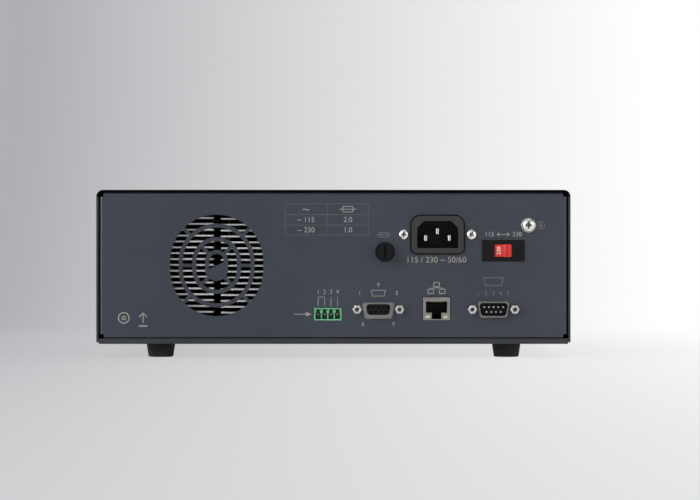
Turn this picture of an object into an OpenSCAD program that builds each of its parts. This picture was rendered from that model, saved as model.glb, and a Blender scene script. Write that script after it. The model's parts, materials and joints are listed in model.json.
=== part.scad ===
// Bench hipot tester: a sheet metal case with a connector panel at the rear, a cooling tunnel,
// two transformers and a front with display, keys, knob and high-voltage sockets.
// X runs to the right as seen from the rear, the rear panel faces -Y, Z is up.

/* [Case] */
// Width over the cover
case_w = 280; // [270:1:310]
// Height from the chassis skirt to the roof
case_h = 91; // [89:1:110]
// Depth from the rear panel to the front of the bezel
case_d = 350; // [345:1:400]
// Sheet thickness of the cover
cover_t = 1.2; // [0.8:0.1:1.6]
// Outer bend radius of the cover's two long top edges
cover_r = 4; // [3:0.5:8]
// How far the cover stands past the rear panel
cover_lip = 0.6; // [0.5:0.1:3]
// Height of the cover's lower edge above the skirt's lower edge
cover_rise = 1; // [0.5:0.1:2]
// Gap between the roof and the rear panel
roof_gap = 0.2; // [0.2:0.1:0.8]
// Gap between the cover's sides and the rear panel
panel_gap = 0.5; // [0.5:0.1:1.5]
// Sheet thickness of chassis and rear panel
sheet_t = 1.2; // [0.8:0.1:1.5]
// Height of the chassis skirt
skirt_h = 3.2; // [2.8:0.1:5]
// Height of the chassis side walls above the floor's underside
side_h = 18; // [16:1:30]
// Vent slots in each side of the cover
slot_count = 12; // [4:1:16]
// Height of a vent slot
slot_h = 40; // [20:1:50]
// Width of a vent slot
slot_w = 3; // [2:0.5:4]

/* [Rear panel] */
// Depth of the panel's bent flanges
flange_d = 8; // [6:0.5:12]
// Outer bend radius of the flanges
bend_r = 2; // [1.8:0.1:2.5]
// Relief notch in each corner
notch = 2.6; // [2.5:0.1:4]
// Gap round each piece that passes through a sheet or plate
cut_gap = 0.3; // [0.1:0.05:0.4]

/* [Feet] */
// Height that a foot shows below the case
foot_h = 8; // [6:0.5:14]
// Diameter of a foot at its top
foot_top_d = 17.4; // [15:0.1:20]
// Diameter of a foot at its bottom
foot_low_d = 14; // [12:0.1:15]
// Distance of the feet from the middle plane
foot_x = 102.8; // [90:0.1:118]
// Distance of the rear feet from the rear panel
foot_rear = 18; // [17:0.5:30]
// Distance of the front feet from the bezel's front
foot_front = 45; // [38:1:80]

/* [Vent and heat sinks] */
// Vent centre, to the right of the middle plane
vent_x = -69; // [-72:0.5:-62]
// Vent centre above the skirt's lower edge
vent_z = 46.4; // [45:0.1:48]
// Half width of the vent opening
vent_r = 27.6; // [26:0.1:29]
// Half length of the straight stretch at the vent's sides
vent_rise = 2.35; // [1:0.05:4]
// Width of the grille's rings
vent_band = 2.4; // [1.8:0.1:3]
// Width of the grille's bars
vent_bar = 2; // [1.5:0.1:3]
// Middle radius of the outer ring
ring_1 = 21.2; // [20:0.1:22]
// Middle radius of the middle ring
ring_2 = 13.2; // [12:0.1:14]
// Middle radius of the inner ring
ring_3 = 5.6; // [5:0.1:7]
// Slope of the hub plate's upper edge
hub_tilt = 24; // [0:1:45]
// Fins of each heat sink
fin_count = 17; // [13:1:17]
// Distance from fin to fin
fin_pitch = 3.48; // [3.2:0.02:3.5]
// Thickness of a fin
fin_t = 1; // [0.8:0.1:1.5]
// Gap between the fin tips of the two heat sinks
fin_gap = 4.4; // [2:0.1:6]
// Height step between the two sets of fins
fin_step = 0.5; // [0:0.1:1]
// Half width of the air tunnel over the heat sinks' backs
sink_half = 33; // [32:0.5:36]
// Thickness of a heat sink's back
sink_base_t = 4.5; // [3:0.5:5]
// Length of the heat sinks
sink_l = 100; // [80:1:110]

/* [Fan] */
// Side of the fan's square frame
fan_size = 60; // [60:1:62]
// Depth of the fan's frame
fan_d = 25; // [25:0.5:32]
// Distance between the fan's screws
fan_pitch = 50; // [49.5:0.1:51]
// Diameter of the fan's shaft
fan_shaft_d = 3; // [2.5:0.1:4]
// Blades of the rotor
blade_count = 7; // [5:1:9]

/* [Mains entry] */
// Inlet centre, to the right of the middle plane
inlet_x = 61.5; // [58:0.5:64]
// Inlet centre above the skirt's lower edge
inlet_z = 64.6; // [60:0.1:68]
// Width of the inlet's nose
inlet_w = 30.8; // [29:0.1:32]
// Height of the inlet's nose
inlet_h = 22.1; // [21:0.1:24]
// Radius of the nose's two upper corners
nose_r = 5.3; // [4.5:0.1:6]
// Gap between the nose and its cut-out in the panel
inlet_gap = 0.7; // [0.3:0.1:0.8]
// How far the nose stands past the panel
inlet_proud = 2; // [1:0.1:4]
// Distance between the inlet's screws
inlet_pitch = 40; // [39.5:0.1:41]
// Width of the plug recess
recess_w = 24.2; // [23.5:0.1:25]
// Height of the plug recess
recess_h = 16; // [15.5:0.1:17]
// Depth of the plug recess
recess_d = 16; // [14:0.5:18]
// Fuse holder centre, to the right of the middle plane
fuse_x = 30.5; // [28:0.5:31]
// Fuse holder centre above the skirt's lower edge
fuse_z = 54.3; // [50:0.1:60]
// Diameter of the fuse holder's collar
fuse_collar_d = 11.6; // [11.2:0.1:14]
// How far the fuse cap stands past the panel
fuse_proud = 8.5; // [7.5:0.1:14]
// Selector centre, to the right of the middle plane
selector_x = 100.3; // [98:0.1:102]
// Selector centre above the skirt's lower edge
selector_z = 55.1; // [52:0.1:57]
// Width of the selector's face
selector_w = 25.1; // [24.5:0.1:27]
// Height of the selector's face
selector_h = 12.6; // [12:0.1:14]
// Width of the selector's window
window_w = 10.3; // [9.5:0.1:10.5]
// Height of the selector's window
window_h = 8.15; // [7.5:0.05:8.5]
// Travel of the selector's slider
selector_travel = 4.2; // [3.5:0.1:4.4]
// Ground screw, to the right of the middle plane
ground_x = 115.2; // [112:0.1:118]
// Ground screw above the skirt's lower edge
ground_z = 70.1; // [68:0.1:74]
// Diameter of the ground screw's head
ground_head_d = 8.6; // [8:0.1:10]

/* [Connectors] */
// Signal header centre, to the right of the middle plane
header_x = -3.3; // [-6:0.1:0]
// Signal header centre above the skirt's lower edge
header_z = 17.6; // [17:0.1:19]
// Width of the signal header
header_w = 16.4; // [16:0.1:17]
// Height of the signal header
header_h = 7.45; // [7:0.05:8]
// Distance from pin to pin of the signal header
header_pitch = 3.81; // [3.5:0.01:3.81]
// Female nine-way connector, to the right of the middle plane
handler_x = 26.5; // [25:0.1:28]
// Male nine-way connector, to the right of the middle plane
serial_x = 94.5; // [93:0.1:97]
// Both nine-way connectors above the skirt's lower edge
dsub_z = 20.4; // [20.2:0.1:24]
// Distance between the two jackscrews of a connector
jack_pitch = 25; // [24.8:0.1:25.4]
// How far the connector shells stand past the panel
dsub_proud = 4.8; // [4:0.1:6.5]
// Thread core diameter of a jackscrew
jack_bore_d = 2.4; // [2.2:0.1:2.6]
// Network jack, to the right of the middle plane
lan_x = 60.9; // [58:0.1:63]
// Network jack above the skirt's lower edge
lan_z = 20.8; // [20.5:0.1:24]
// Width of the network jack
lan_w = 16; // [15.6:0.1:16.6]
// Height of the network jack
lan_h = 13.6; // [13.2:0.1:13.8]

/* [Inside] */
// Length of the main board, from rear to front
board_l = 130; // [110:1:140]
// Thickness of the circuit boards
board_t = 1.6; // [1.2:0.1:2]
// Mains transformer centre, to the right of the middle plane
mains_x = 62; // [50:1:80]
// Mains transformer centre from the rear panel
mains_y = 215; // [200:1:250]
// Width of the mains transformer's core
mains_w = 76; // [70:1:90]
// High-voltage transformer centre, to the right of the middle plane
hv_core_x = -85; // [-90:1:-75]
// High-voltage transformer centre from the rear panel
hv_core_y = 235; // [220:1:245]
// Width of the high-voltage transformer's core
hv_core_w = 66; // [60:1:76]
// Diameter of the high-voltage lead
hv_lead_d = 5; // [4:0.5:6]

/* [Front] */
// Depth of the bezel
bezel_d = 20; // [18:1:24]
// Width of the bezel's rim
bezel_rim = 5; // [4.5:0.5:6]
// Width of the ledge that carries the front plate
bezel_ledge = 5; // [4:0.5:6]
// Corner radius of the bezel
bezel_r = 5; // [3:0.5:8]
// Thickness of the front plate
plate_t = 2; // [1.5:0.1:3]
// How far the front plate lies inside the bezel
plate_recess = 1.5; // [0.5:0.1:3]
// Space between front plate and key board
key_space = 8; // [8:0.5:9]
// Width of the display window
display_w = 98; // [80:1:102]
// Height of the display window
display_h = 56; // [48:1:58]
// Display centre, to the right of the middle plane
display_x = 52; // [49:1:55]
// Height of the display and the soft keys above the skirt's lower edge
display_z = 45.5; // [45:0.5:47]
// Soft keys to the right of the middle plane
soft_x = -15.5; // [-17:0.5:-14]
// Distance from soft key to soft key
soft_pitch = 11.5; // [11:0.1:12]
// Width of a soft key
soft_w = 11; // [9:0.5:12]
// Height of a soft key
soft_h = 6.5; // [5:0.5:7]
// Travel of a soft key
soft_travel = 1; // [0.6:0.1:1.4]
// Gap round every key and button
key_gap = 0.35; // [0.3:0.05:0.5]
// Diameter of the start and stop buttons
test_d = 17; // [14:0.5:18]
// Travel of the start and stop buttons
test_travel = 2; // [1:0.1:2.4]
// How far the start and stop buttons stand past the plate
test_proud = 5; // [3:0.5:7]
// Start button, to the right of the middle plane
start_x = -35.5; // [-37:0.5:-34]
// Stop button, to the right of the middle plane
stop_x = -59; // [-61:0.5:-57]
// Height of the start and stop buttons above the skirt's lower edge
test_z = 24; // [22:0.5:27]
// Power button, to the right of the middle plane
power_x = 120; // [119:0.5:122]
// Power button above the skirt's lower edge
power_z = 24; // [20:0.5:30]
// Side of the square power button
power_w = 12; // [10:0.5:14]
// Travel of the power button
power_travel = 3; // [2:0.1:3.2]
// Diameter of the knob
knob_d = 26; // [20:0.5:28]
// How far the knob stands past the plate
knob_proud = 16; // [14:0.5:20]
// Knob, to the right of the middle plane
knob_x = -47.5; // [-49.5:0.5:-45.5]
// Knob above the skirt's lower edge
knob_z = 59; // [57:0.5:62]
// Diameter of the knob's shaft
knob_shaft_d = 6; // [5:0.5:6.5]
// High-voltage socket, to the right of the middle plane
hv_x = -114.5; // [-116.5:0.5:-112.5]
// Return socket, to the right of the middle plane
return_x = -85.5; // [-86.5:0.5:-83.5]
// Height of both sockets above the skirt's lower edge
socket_z = 36; // [32:0.5:40]
// Outer diameter of a socket's collar
socket_d = 24; // [22:0.5:25]
// How far a socket's collar stands past the plate
socket_proud = 7; // [4:0.5:9]
// Bore of a socket's contact
contact_bore_d = 4.06; // [4:0.02:4.2]
// Danger lamp, to the right of the middle plane
lamp_x = -114.5; // [-117.5:0.5:-109.5]
// Danger lamp above the skirt's lower edge
lamp_z = 66; // [62:0.5:72]
// Diameter of the danger lamp
lamp_d = 10; // [8:0.5:12]

/* [Hidden] */
$fn = 48;

// Overshoot of a cutting shape past the face that it cuts
over = 1;
// Gap between pieces that are fixed in each other
seat = 0.05;
// Running clearance of a shaft in its bearing
running = 0.05;
// Gap between the cover and the chassis walls
wall_gap = 0.2;
// Side slots: from the bezel to the first one, and their middle above the case's middle
slot_inset = 45;
slot_rise = 6;

// Small screws: thread radius, head radius and head height
screw_r = 1.5;
screw_head_r = 2.8;
screw_head_h = 1.8;
screw_hole_r = screw_r + 0.1;

// Heights
case_low = foot_h;
floor_top = case_low + skirt_h;
floor_low = floor_top - sheet_t;
roof_top = case_low + case_h;
roof_low = roof_top - cover_t;
panel_top = roof_low - roof_gap;
panel_half = case_w / 2 - cover_t - panel_gap;
wall_half = case_w / 2 - cover_t - wall_gap;
case_mid = case_low + case_h / 2;

// Depths: the rearmost and foremost pieces lie equally far from the origin
rear_reach = max(fuse_proud, dsub_proud, cover_lip, inlet_proud);
front_reach = max(knob_proud, socket_proud, test_proud) - plate_recess;
rear_y = (rear_reach - front_reach - case_d) / 2;
front_y = rear_y + case_d;
panel_in = rear_y + sheet_t;
bezel_y = front_y - bezel_d;
plate_out = front_y - plate_recess;
plate_in = plate_out - plate_t;
key_board_y = plate_in - key_space;
side_y = rear_y + flange_d + over;

// Main board, just under the connectors
board_top = case_low + min(header_z - header_h / 2, lan_z - lan_h / 2);
board_low = board_top - board_t;
board_y = panel_in + 0.5;
board_left = header_x - header_w / 2 - 4;
board_right = serial_x + jack_pitch / 2 + 6;
standoff_r = 2.5;
standoff_inset = 6;

// Cooling tunnel
sink_y = side_y;
fan_y = sink_y + sink_l;
fan_bore_r = fan_size / 2 - 1.5;
fan_screw_r = 1.7;
fan_screw_grip = 7;
fan_hub_r = 14;
fan_hub_t = 3;
transistor_size = [5, 16, 21];

// Screws of the case
cover_screw_z = case_low + 14;
cover_screw_inset = 25;
cover_screw_y = [side_y + cover_screw_inset, (side_y + bezel_y) / 2, bezel_y - cover_screw_inset];
panel_screw_inset = 11.8;
panel_screw_x = [for (s = [-1:1]) s * (panel_half - panel_screw_inset)];
panel_screw_y = rear_y + flange_d - screw_head_r;
bezel_screw_x = case_w / 2 - (bezel_rim + bezel_ledge) / 2 - 0.8;
bezel_screw_inset = 22;
bezel_screw_z = [case_low + bezel_screw_inset, roof_top - bezel_screw_inset];
bezel_screw_l = 9;
foot_screw_r = 2;
foot_bore_r = 4;
foot_bore_h = 4;
foot_places = [for (sx = [-1, 1], y = [rear_y + foot_rear, front_y - foot_front]) [sx * foot_x, y]];

// Mains entry
inlet_flange_t = 3;
inlet_flange_w = inlet_pitch + 8;
inlet_flange_lap = 1;
nose_low_r = 3;
recess_chamfer = 4.1;
inlet_floor_t = 3;
inlet_y = rear_y - inlet_proud;
inlet_back = inlet_y + recess_d + inlet_floor_t;
pin_w = 2;
pin_h = 4;
inlet_pin_places = [[-7, -2], [7, -2], [0, 2]];
fuse_body_r = 4.9;
fuse_bore_r = 3.9;
fuse_neck_r = 3.5;
fuse_cap_r = 5.1;
fuse_collar_t = 1.6;
fuse_gap = 0.3;
fuse_link_r = 2.6;
fuse_link_l = 20;
fuse_neck_l = 6;
fuse_grip = 3;
fuse_nut_r = 6.8;
fuse_nut_t = 3;
fuse_cap_y = rear_y - fuse_proud;
fuse_collar_y = rear_y - fuse_collar_t;
fuse_neck_end = fuse_collar_y + fuse_neck_l;
fuse_link_y = fuse_neck_end - fuse_grip;
fuse_back = fuse_link_y + fuse_link_l + 4;
selector_face_t = 1;
selector_wall = 1.1;
selector_depth = 12;
slider_gap = 0.3;
slider_t = 2;
slider_l = window_w + selector_travel + 0.4;
selector_room = slider_l + selector_travel + 2 * slider_gap;
selector_body_w = selector_room + 2 * selector_wall;
selector_body_h = selector_h - 2;
ground_r = 2;
ground_head_h = 3;
ground_nut_r = 4;
ground_nut_t = 3.2;

// Connectors
header_proud = 0.6;
header_wall = 0.8;
header_rib = 0.7;
header_lip = 1.2;
header_pin_set = 2.2;
header_notch_w = 1.9;
header_step = 3.7;
header_depth = 8;
header_back = panel_in + header_depth + 2;
header_pin = 1;
dsub_flange_t = 1;
dsub_flange_w = jack_pitch + 6;
dsub_flange_h = 12.4;
handler_wall = 0.5;
serial_wall = 0.45;
dsub_slope = 0.176;
dsub_r = 2;
dsub_back = panel_in + dsub_flange_t + 10;
dsub_body_w = 19;
dsub_body_h = 5;
handler_size = [15.3, 7.5];
serial_size = [17.6, 8.7];
collar_size = [17.9, 8.8];
collar_drop = 0.65;
collar_proud = 0.8;
dsub_gap = 0.6;
dsub_pitch = 2.77;
dsub_rows = 2.84;
dsub_pin_r = 0.5;
dsub_hole_r = 0.6;
dsub_pins = [
    for (i = [-2:2]) [i * dsub_pitch, dsub_rows / 2],
    for (i = [-1.5:1.5]) [i * dsub_pitch, -dsub_rows / 2]
];
jack_l = 4.6;
jack_hex_r = 2.75;
jack_bore_l = 4;
jack_tail = 2.5;
lan_proud = 0.6;
lan_wall = 0.5;
lan_l = 15;
lan_back = panel_in + lan_l;
lan_depth = 12;
lan_open_w = 12.6;
lan_open_top = 4.3;
lan_open_low = -2.3;
lan_latch_w = 5.6;
lan_latch_low = -6.1;
lan_pitch = 1.02;

// Transformers
mains_h = mains_w * 5 / 6;
hv_core_h = hv_core_w * 5 / 6;
core_gap = 0.3;
winding_bulge = 11;

// Front
plate_w = case_w - 2 * bezel_rim;
plate_h = case_h - 2 * bezel_rim;
ledge_w = plate_w - 2 * bezel_ledge;
ledge_h = plate_h - 2 * bezel_ledge;
plate_r = 3;
plate_fit = 0.2;
key_flange_t = 1;
key_flange_w = 1;
key_stem_r = 1.5;
key_switch_t = 1.5;
soft_proud = 1.6;
power_proud = 4;
display_frame = 3;
encoder_w = 12;
encoder_t = 6;
bush_r = 4.5;
bush_past = 4;
knob_hollow_r = 6;
knob_hollow_l = 6;
socket_tube_r = 8;
socket_tube_l = 22;
socket_mouth_r = 4.4;
socket_mouth_l = 9;
socket_nut_r = 12;
socket_nut_t = 4;
contact_r = 3.2;
contact_tail_l = 3;
socket_back = plate_in - socket_tube_l;
contact_front = plate_out + socket_proud - socket_mouth_l;
contact_back = socket_back - contact_tail_l;
lamp_proud = 3;
lamp_body_l = 12;
lamp_rim = 1.5;
post_edge = 1;
post_rise = ledge_h / 2 - standoff_r - post_edge;

// Places across the front: given for a front of this inner width, and spread or drawn together with it
front_given_w = 260;
spread = ledge_w / front_given_w;
display_at = display_x * spread;
soft_at = soft_x * spread;
start_at = start_x * spread;
stop_at = stop_x * spread;
power_at = power_x * spread;
knob_at = knob_x * spread;
hv_at = hv_x * spread;
return_at = return_x * spread;
lamp_at = lamp_x * spread;
display_half = display_w / 2 + display_frame;
soft_places = [for (i = [2:-1:-2]) [soft_at, display_z + i * soft_pitch]];

// A block centred on x and z that starts at y and runs d towards the front
module block(x, y, z, w, d, h) {
    translate([x - w / 2, y, z - h / 2]) cube([w, d, h]);
}

// A round bar that starts at y and runs d towards the front
module rod(x, y, z, r, d) {
    translate([x, y, z]) rotate([-90, 0, 0]) cylinder(r = r, h = d);
}

// An outline in the plane of the panel, pushed d towards the front
module push(x, y, z, d) {
    translate([x, y + d, z]) rotate([90, 0, 0]) linear_extrude(d) children();
}

// A rectangle with round corners
module rounded(w, h, r) {
    square([w - 2 * r, h], center = true);
    square([w, h - 2 * r], center = true);
    for (sx = [-1, 1], sy = [-1, 1])
        translate([sx * (w / 2 - r), sy * (h / 2 - r)]) circle(r);
}

// A sheet channel seen on end: a web along x and two legs up, bent with outer radius r
module channel(w, d, t, r) {
    difference() {
        channel_outline(w, d, r);
        translate([0, t]) channel_outline(w - 2 * t, d, r - t);
    }
}

// The outer outline of a channel
module channel_outline(w, d, r) {
    translate([-w / 2, r]) square([w, d - r]);
    translate([r - w / 2, 0]) square([w - 2 * r, d]);
    for (sx = [-1, 1]) translate([sx * (w / 2 - r), r]) circle(r);
}

// A pan head screw along Z: the head stands on the plane z = 0, the thread runs down
module pan_screw(r, length, head_r, head_h) {
    slot = head_r / 4;
    difference() {
        union() {
            rotate_extrude()
                polygon([[0, 0], [head_r, 0], [head_r, head_h * 0.5], [head_r * 0.72, head_h], [0, head_h]]);
            translate([0, 0, -length]) cylinder(r = r, h = length);
        }
        for (a = [0, 90]) rotate(a)
            translate([-head_r * 0.6, -slot / 2, head_h * 0.55]) cube([head_r * 1.2, slot, head_h]);
    }
}

// A screw with its head on the rear side
module rear_screw(x, y, z, r, length, head_r, head_h) {
    translate([x, y, z]) rotate([90, 0, 0]) pan_screw(r, length, head_r, head_h);
}

// Chassis: floor with a turned-down rear skirt, side walls and a front wall with a large window. The skirt's
// lower edge is rolled

module skirt() {
    difference() {
        square([sheet_t, skirt_h]);
        square(sheet_t);
    }
    intersection() {
        square(sheet_t);
        translate([sheet_t, sheet_t]) circle(sheet_t);
    }
}

module bottom_chassis() {
    window_rim = 14;
    color("#4a4d52") difference() {
        union() {
            translate([-wall_half, rear_y, floor_low]) cube([2 * wall_half, bezel_y - rear_y, sheet_t]);
            translate([-wall_half, rear_y, case_low]) rotate([90, 0, 90])
                linear_extrude(2 * wall_half) skirt();
            for (sx = [-1, 1])
                translate([sx * (wall_half - sheet_t / 2) - sheet_t / 2, side_y, floor_low])
                    cube([sheet_t, bezel_y - side_y, side_h]);
            translate([-wall_half, bezel_y - sheet_t, floor_low])
                cube([2 * wall_half, sheet_t, roof_low - roof_gap - floor_low]);
        }
        block(0, bezel_y - sheet_t - over, case_mid, 2 * (wall_half - window_rim), sheet_t + 2 * over,
            case_h - 2 * window_rim);
        for (x = panel_screw_x) translate([x, panel_screw_y, floor_low - over])
            cylinder(r = screw_hole_r, h = sheet_t + 2 * over);
        for (p = foot_places) translate([p[0], p[1], floor_low - over])
            cylinder(r = foot_screw_r + 0.1, h = sheet_t + 2 * over);
        for (sx = [-1, 1], z = bezel_screw_z)
            rod(sx * bezel_screw_x, bezel_y - sheet_t - over, z, screw_hole_r, sheet_t + 2 * over);
        for (y = cover_screw_y) translate([-case_w / 2, y, cover_screw_z]) rotate([0, 90, 0])
            cylinder(r = screw_hole_r, h = case_w);
    }
}

module top_cover() {
    wall_low = case_low + cover_rise;
    length = bezel_y - rear_y + cover_lip;
    slot_pitch = 2.4 * slot_w;
    slot_y = bezel_y - slot_inset;
    color("#3a3c40") difference() {
        translate([0, rear_y - cover_lip, roof_top]) rotate([-90, 0, 0])
            linear_extrude(length) channel(case_w, roof_top - wall_low, cover_t, cover_r);
        for (i = [0:slot_count - 1])
            translate([-case_w / 2 - over, slot_y - i * slot_pitch, case_mid + slot_rise - slot_h / 2])
                cube([case_w + 2 * over, slot_w, slot_h]);
        for (y = cover_screw_y) translate([-case_w / 2 - over, y, cover_screw_z]) rotate([0, 90, 0])
            cylinder(r = screw_hole_r, h = case_w + 2 * over);
    }
}

// Rear panel: a sheet bent on all four sides, with the vent grille and the connector holes

module stadium(r) {
    square([2 * r, 2 * vent_rise], center = true);
    for (s = [-1, 1]) translate([0, s * vent_rise]) circle(r);
}

module vent_ring(r) {
    difference() {
        stadium(r + vent_band / 2);
        stadium(r - vent_band / 2);
    }
}

module vent_bars(from_r, to_r, angles) {
    for (a = angles) translate([0, sign(sin(a)) * vent_rise]) rotate(a)
        translate([from_r, -vent_bar / 2]) square([to_r - from_r, vent_bar]);
}

module vent_web() {
    diagonals = [45, 135, 225, 315];
    for (r = [ring_1, ring_2, ring_3]) vent_ring(r);
    vent_bars(ring_1, vent_r + over, diagonals);
    vent_bars(ring_2, ring_1, [0, 180]);
    vent_bars(ring_3, ring_2, diagonals);
    intersection() {
        stadium(ring_3);
        rotate(hub_tilt) translate([-ring_2, -2 * ring_2]) square(2 * ring_2);
    }
}

module d_outline(size) {
    low = size[0] / 2 - dsub_r - dsub_slope * (size[1] - 2 * dsub_r);
    hull() for (s = [-1, 1]) {
        translate([s * (size[0] / 2 - dsub_r), size[1] / 2 - dsub_r]) circle(dsub_r, $fn = 32);
        translate([s * low, dsub_r - size[1] / 2]) circle(dsub_r, $fn = 32);
    }
}

// The inlet's nose seen on end, grown by a gap: its upper corners are rounder than its lower ones
module nose_outline(gap) {
    w = inlet_w + 2 * gap;
    h = inlet_h + 2 * gap;
    top_r = nose_r + gap;
    low_r = nose_low_r + gap;
    translate([0, (low_r - top_r) / 2]) square([w, h - top_r - low_r], center = true);
    translate([top_r - w / 2, 0]) square([w - 2 * top_r, h / 2]);
    translate([low_r - w / 2, -h / 2]) square([w - 2 * low_r, h / 2]);
    for (s = [-1, 1]) {
        translate([s * (w / 2 - top_r), h / 2 - top_r]) circle(top_r);
        translate([s * (w / 2 - low_r), low_r - h / 2]) circle(low_r);
    }
}

module rear_holes() {
    y = rear_y - over;
    d = sheet_t + 2 * over;
    push(vent_x, y, case_low + vent_z, d) difference() {
        stadium(vent_r);
        vent_web();
    }
    push(inlet_x, y, case_low + inlet_z, d) nose_outline(inlet_gap);
    for (s = [-1, 1]) rod(inlet_x + s * inlet_pitch / 2, y, case_low + inlet_z, screw_hole_r, d);
    rod(fuse_x, y, case_low + fuse_z, fuse_body_r + seat, d);
    block(selector_x, y, case_low + selector_z, selector_body_w + cut_gap, d, selector_body_h + cut_gap);
    rod(ground_x, y, case_low + ground_z, ground_r + 0.1, d);
    block(header_x, y, case_low + header_z, header_w + 2 * cut_gap, d, header_h + 2 * cut_gap);
    block(lan_x, y, case_low + lan_z, lan_w + 2 * cut_gap, d, lan_h + 2 * cut_gap);
    push(handler_x, y, case_low + dsub_z - collar_drop, d) d_outline(collar_size + 2 * [dsub_gap, dsub_gap]);
    push(serial_x, y, case_low + dsub_z, d) d_outline(serial_size + 2 * [dsub_gap, dsub_gap]);
    for (x = [handler_x, serial_x], s = [-1, 1])
        rod(x + s * jack_pitch / 2, y, case_low + dsub_z, screw_hole_r, d);
    for (x = panel_screw_x) translate([x, panel_screw_y, floor_top - over])
        cylinder(r = screw_hole_r, h = sheet_t + 2 * over);
}

module rear_panel() {
    height = panel_top - floor_top;
    color("#42464f") difference() {
        union() {
            translate([0, rear_y, floor_top + notch])
                linear_extrude(height - 2 * notch) channel(2 * panel_half, flange_d, sheet_t, bend_r);
            translate([notch - panel_half, rear_y, floor_top + height / 2]) rotate([90, 0, 90])
                linear_extrude(2 * (panel_half - notch))
                    rotate(-90) channel(height, flange_d, sheet_t, bend_r);
        }
        rear_holes();
    }
}

// Front bezel: a moulded frame with a ledge for the front plate

module front_bezel() {
    color("#2b2d31") difference() {
        push(0, bezel_y, case_mid, bezel_d) rounded(case_w, case_h, bezel_r);
        push(0, bezel_y - over, case_mid, bezel_d + 2 * over) rounded(ledge_w, ledge_h, plate_r);
        push(0, plate_in, case_mid, bezel_d) rounded(plate_w, plate_h, plate_r);
        for (sx = [-1, 1], z = bezel_screw_z)
            rod(sx * bezel_screw_x, bezel_y - over, z, screw_r + seat, bezel_screw_l + over);
    }
}

module front_plate() {
    y = plate_in - over;
    d = plate_t + 2 * over;
    color("#c9ccd0") difference() {
        push(0, plate_in, case_mid, plate_t) rounded(plate_w - plate_fit, plate_h - plate_fit, plate_r);
        block(display_at, y, case_low + display_z, display_w, d, display_h);
        for (p = soft_places) block(p[0], y, case_low + p[1], soft_w + 2 * key_gap, d, soft_h + 2 * key_gap);
        for (x = [start_at, stop_at]) rod(x, y, case_low + test_z, test_d / 2 + key_gap, d);
        block(power_at, y, case_low + power_z, power_w + 2 * key_gap, d, power_w + 2 * key_gap);
        rod(knob_at, y, case_low + knob_z, bush_r + cut_gap, d);
        for (x = [hv_at, return_at]) rod(x, y, case_low + socket_z, socket_tube_r + cut_gap, d);
        rod(lamp_at, y, case_low + lamp_z, lamp_d / 2 + cut_gap, d);
    }
}

module rubber_feet() {
    top = floor_low;
    color("#1c1c1e") for (p = foot_places) translate([p[0], p[1], 0]) difference() {
        cylinder(r1 = foot_low_d / 2, r2 = foot_top_d / 2, h = top);
        translate([0, 0, -over]) cylinder(r = foot_screw_r + 0.1, h = top + 2 * over);
        translate([0, 0, -over]) cylinder(r = foot_bore_r, h = foot_bore_h + over);
    }
}

module foot_screws() {
    color("silver") for (p = foot_places) translate([p[0], p[1], foot_bore_h]) rotate([180, 0, 0])
        pan_screw(foot_screw_r, floor_top - foot_bore_h - seat, foot_bore_r - 0.5, foot_bore_h / 2);
}

module cover_screws() {
    color("silver") for (s = [-1, 1], y = cover_screw_y)
        translate([s * case_w / 2, y, cover_screw_z]) rotate([0, s * 90, 0])
            pan_screw(screw_r, cover_t + wall_gap + sheet_t + 2, screw_head_r, screw_head_h);
}

module chassis_screws() {
    color("silver") {
        for (x = panel_screw_x) translate([x, panel_screw_y, floor_low]) rotate([180, 0, 0])
            pan_screw(screw_r, 2 * sheet_t + 2, screw_head_r, screw_head_h);
        for (sx = [-1, 1], z = bezel_screw_z)
            rear_screw(sx * bezel_screw_x, bezel_y - sheet_t, z, screw_r, sheet_t + bezel_screw_l - 1,
                screw_head_r, screw_head_h);
    }
}

// Mains entry

module recess_outline() {
    w = recess_w / 2;
    h = recess_h / 2;
    polygon([[-w, -h], [w, -h], [w, h - recess_chamfer], [w - recess_chamfer, h],
        [recess_chamfer - w, h], [-w, h - recess_chamfer]]);
}

module inlet_body() {
    z = case_low + inlet_z;
    flange_h = inlet_h + 2 * (inlet_gap + inlet_flange_lap);
    color("#17181a") difference() {
        union() {
            push(inlet_x, inlet_y, z, panel_in - inlet_y) nose_outline(0);
            push(inlet_x, panel_in, z, inlet_flange_t) rounded(inlet_flange_w, flange_h, 4);
            block(inlet_x, panel_in, z, inlet_w - 2, inlet_back - panel_in, inlet_h - 1);
        }
        push(inlet_x, inlet_y - over, z, recess_d + over) recess_outline();
        for (p = inlet_pin_places) block(inlet_x + p[0], inlet_y, z + p[1], pin_w + 2 * seat,
            recess_d + inlet_floor_t + over, pin_h + 2 * seat);
        for (s = [-1, 1]) rod(inlet_x + s * inlet_pitch / 2, panel_in - over, z, screw_r + seat,
            inlet_flange_t + 2 * over);
    }
}

module inlet_pins() {
    tip = 2.5;
    tab = 8;
    color("#b9bcc0") for (p = inlet_pin_places)
        block(inlet_x + p[0], inlet_y + tip, case_low + inlet_z + p[1], pin_w,
            inlet_back + tab - inlet_y - tip, pin_h);
}

module inlet_screws() {
    color("silver") for (s = [-1, 1])
        rear_screw(inlet_x + s * inlet_pitch / 2, rear_y, case_low + inlet_z, screw_r,
            sheet_t + inlet_flange_t + 2, screw_head_r + 0.3, screw_head_h);
}

module fuse_holder() {
    z = case_low + fuse_z;
    color("#17181a") {
        difference() {
            union() {
                rod(fuse_x, fuse_collar_y, z, fuse_collar_d / 2, fuse_collar_t);
                rod(fuse_x, rear_y, z, fuse_body_r, fuse_back - rear_y);
            }
            rod(fuse_x, fuse_collar_y - over, z, fuse_bore_r, fuse_back - fuse_collar_y);
        }
        difference() {
            translate([fuse_x, panel_in + fuse_nut_t, z]) rotate([90, 0, 0])
                cylinder(r = fuse_nut_r, h = fuse_nut_t, $fn = 6);
            rod(fuse_x, panel_in - over, z, fuse_body_r + seat, fuse_nut_t + 2 * over);
        }
    }
}

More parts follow.
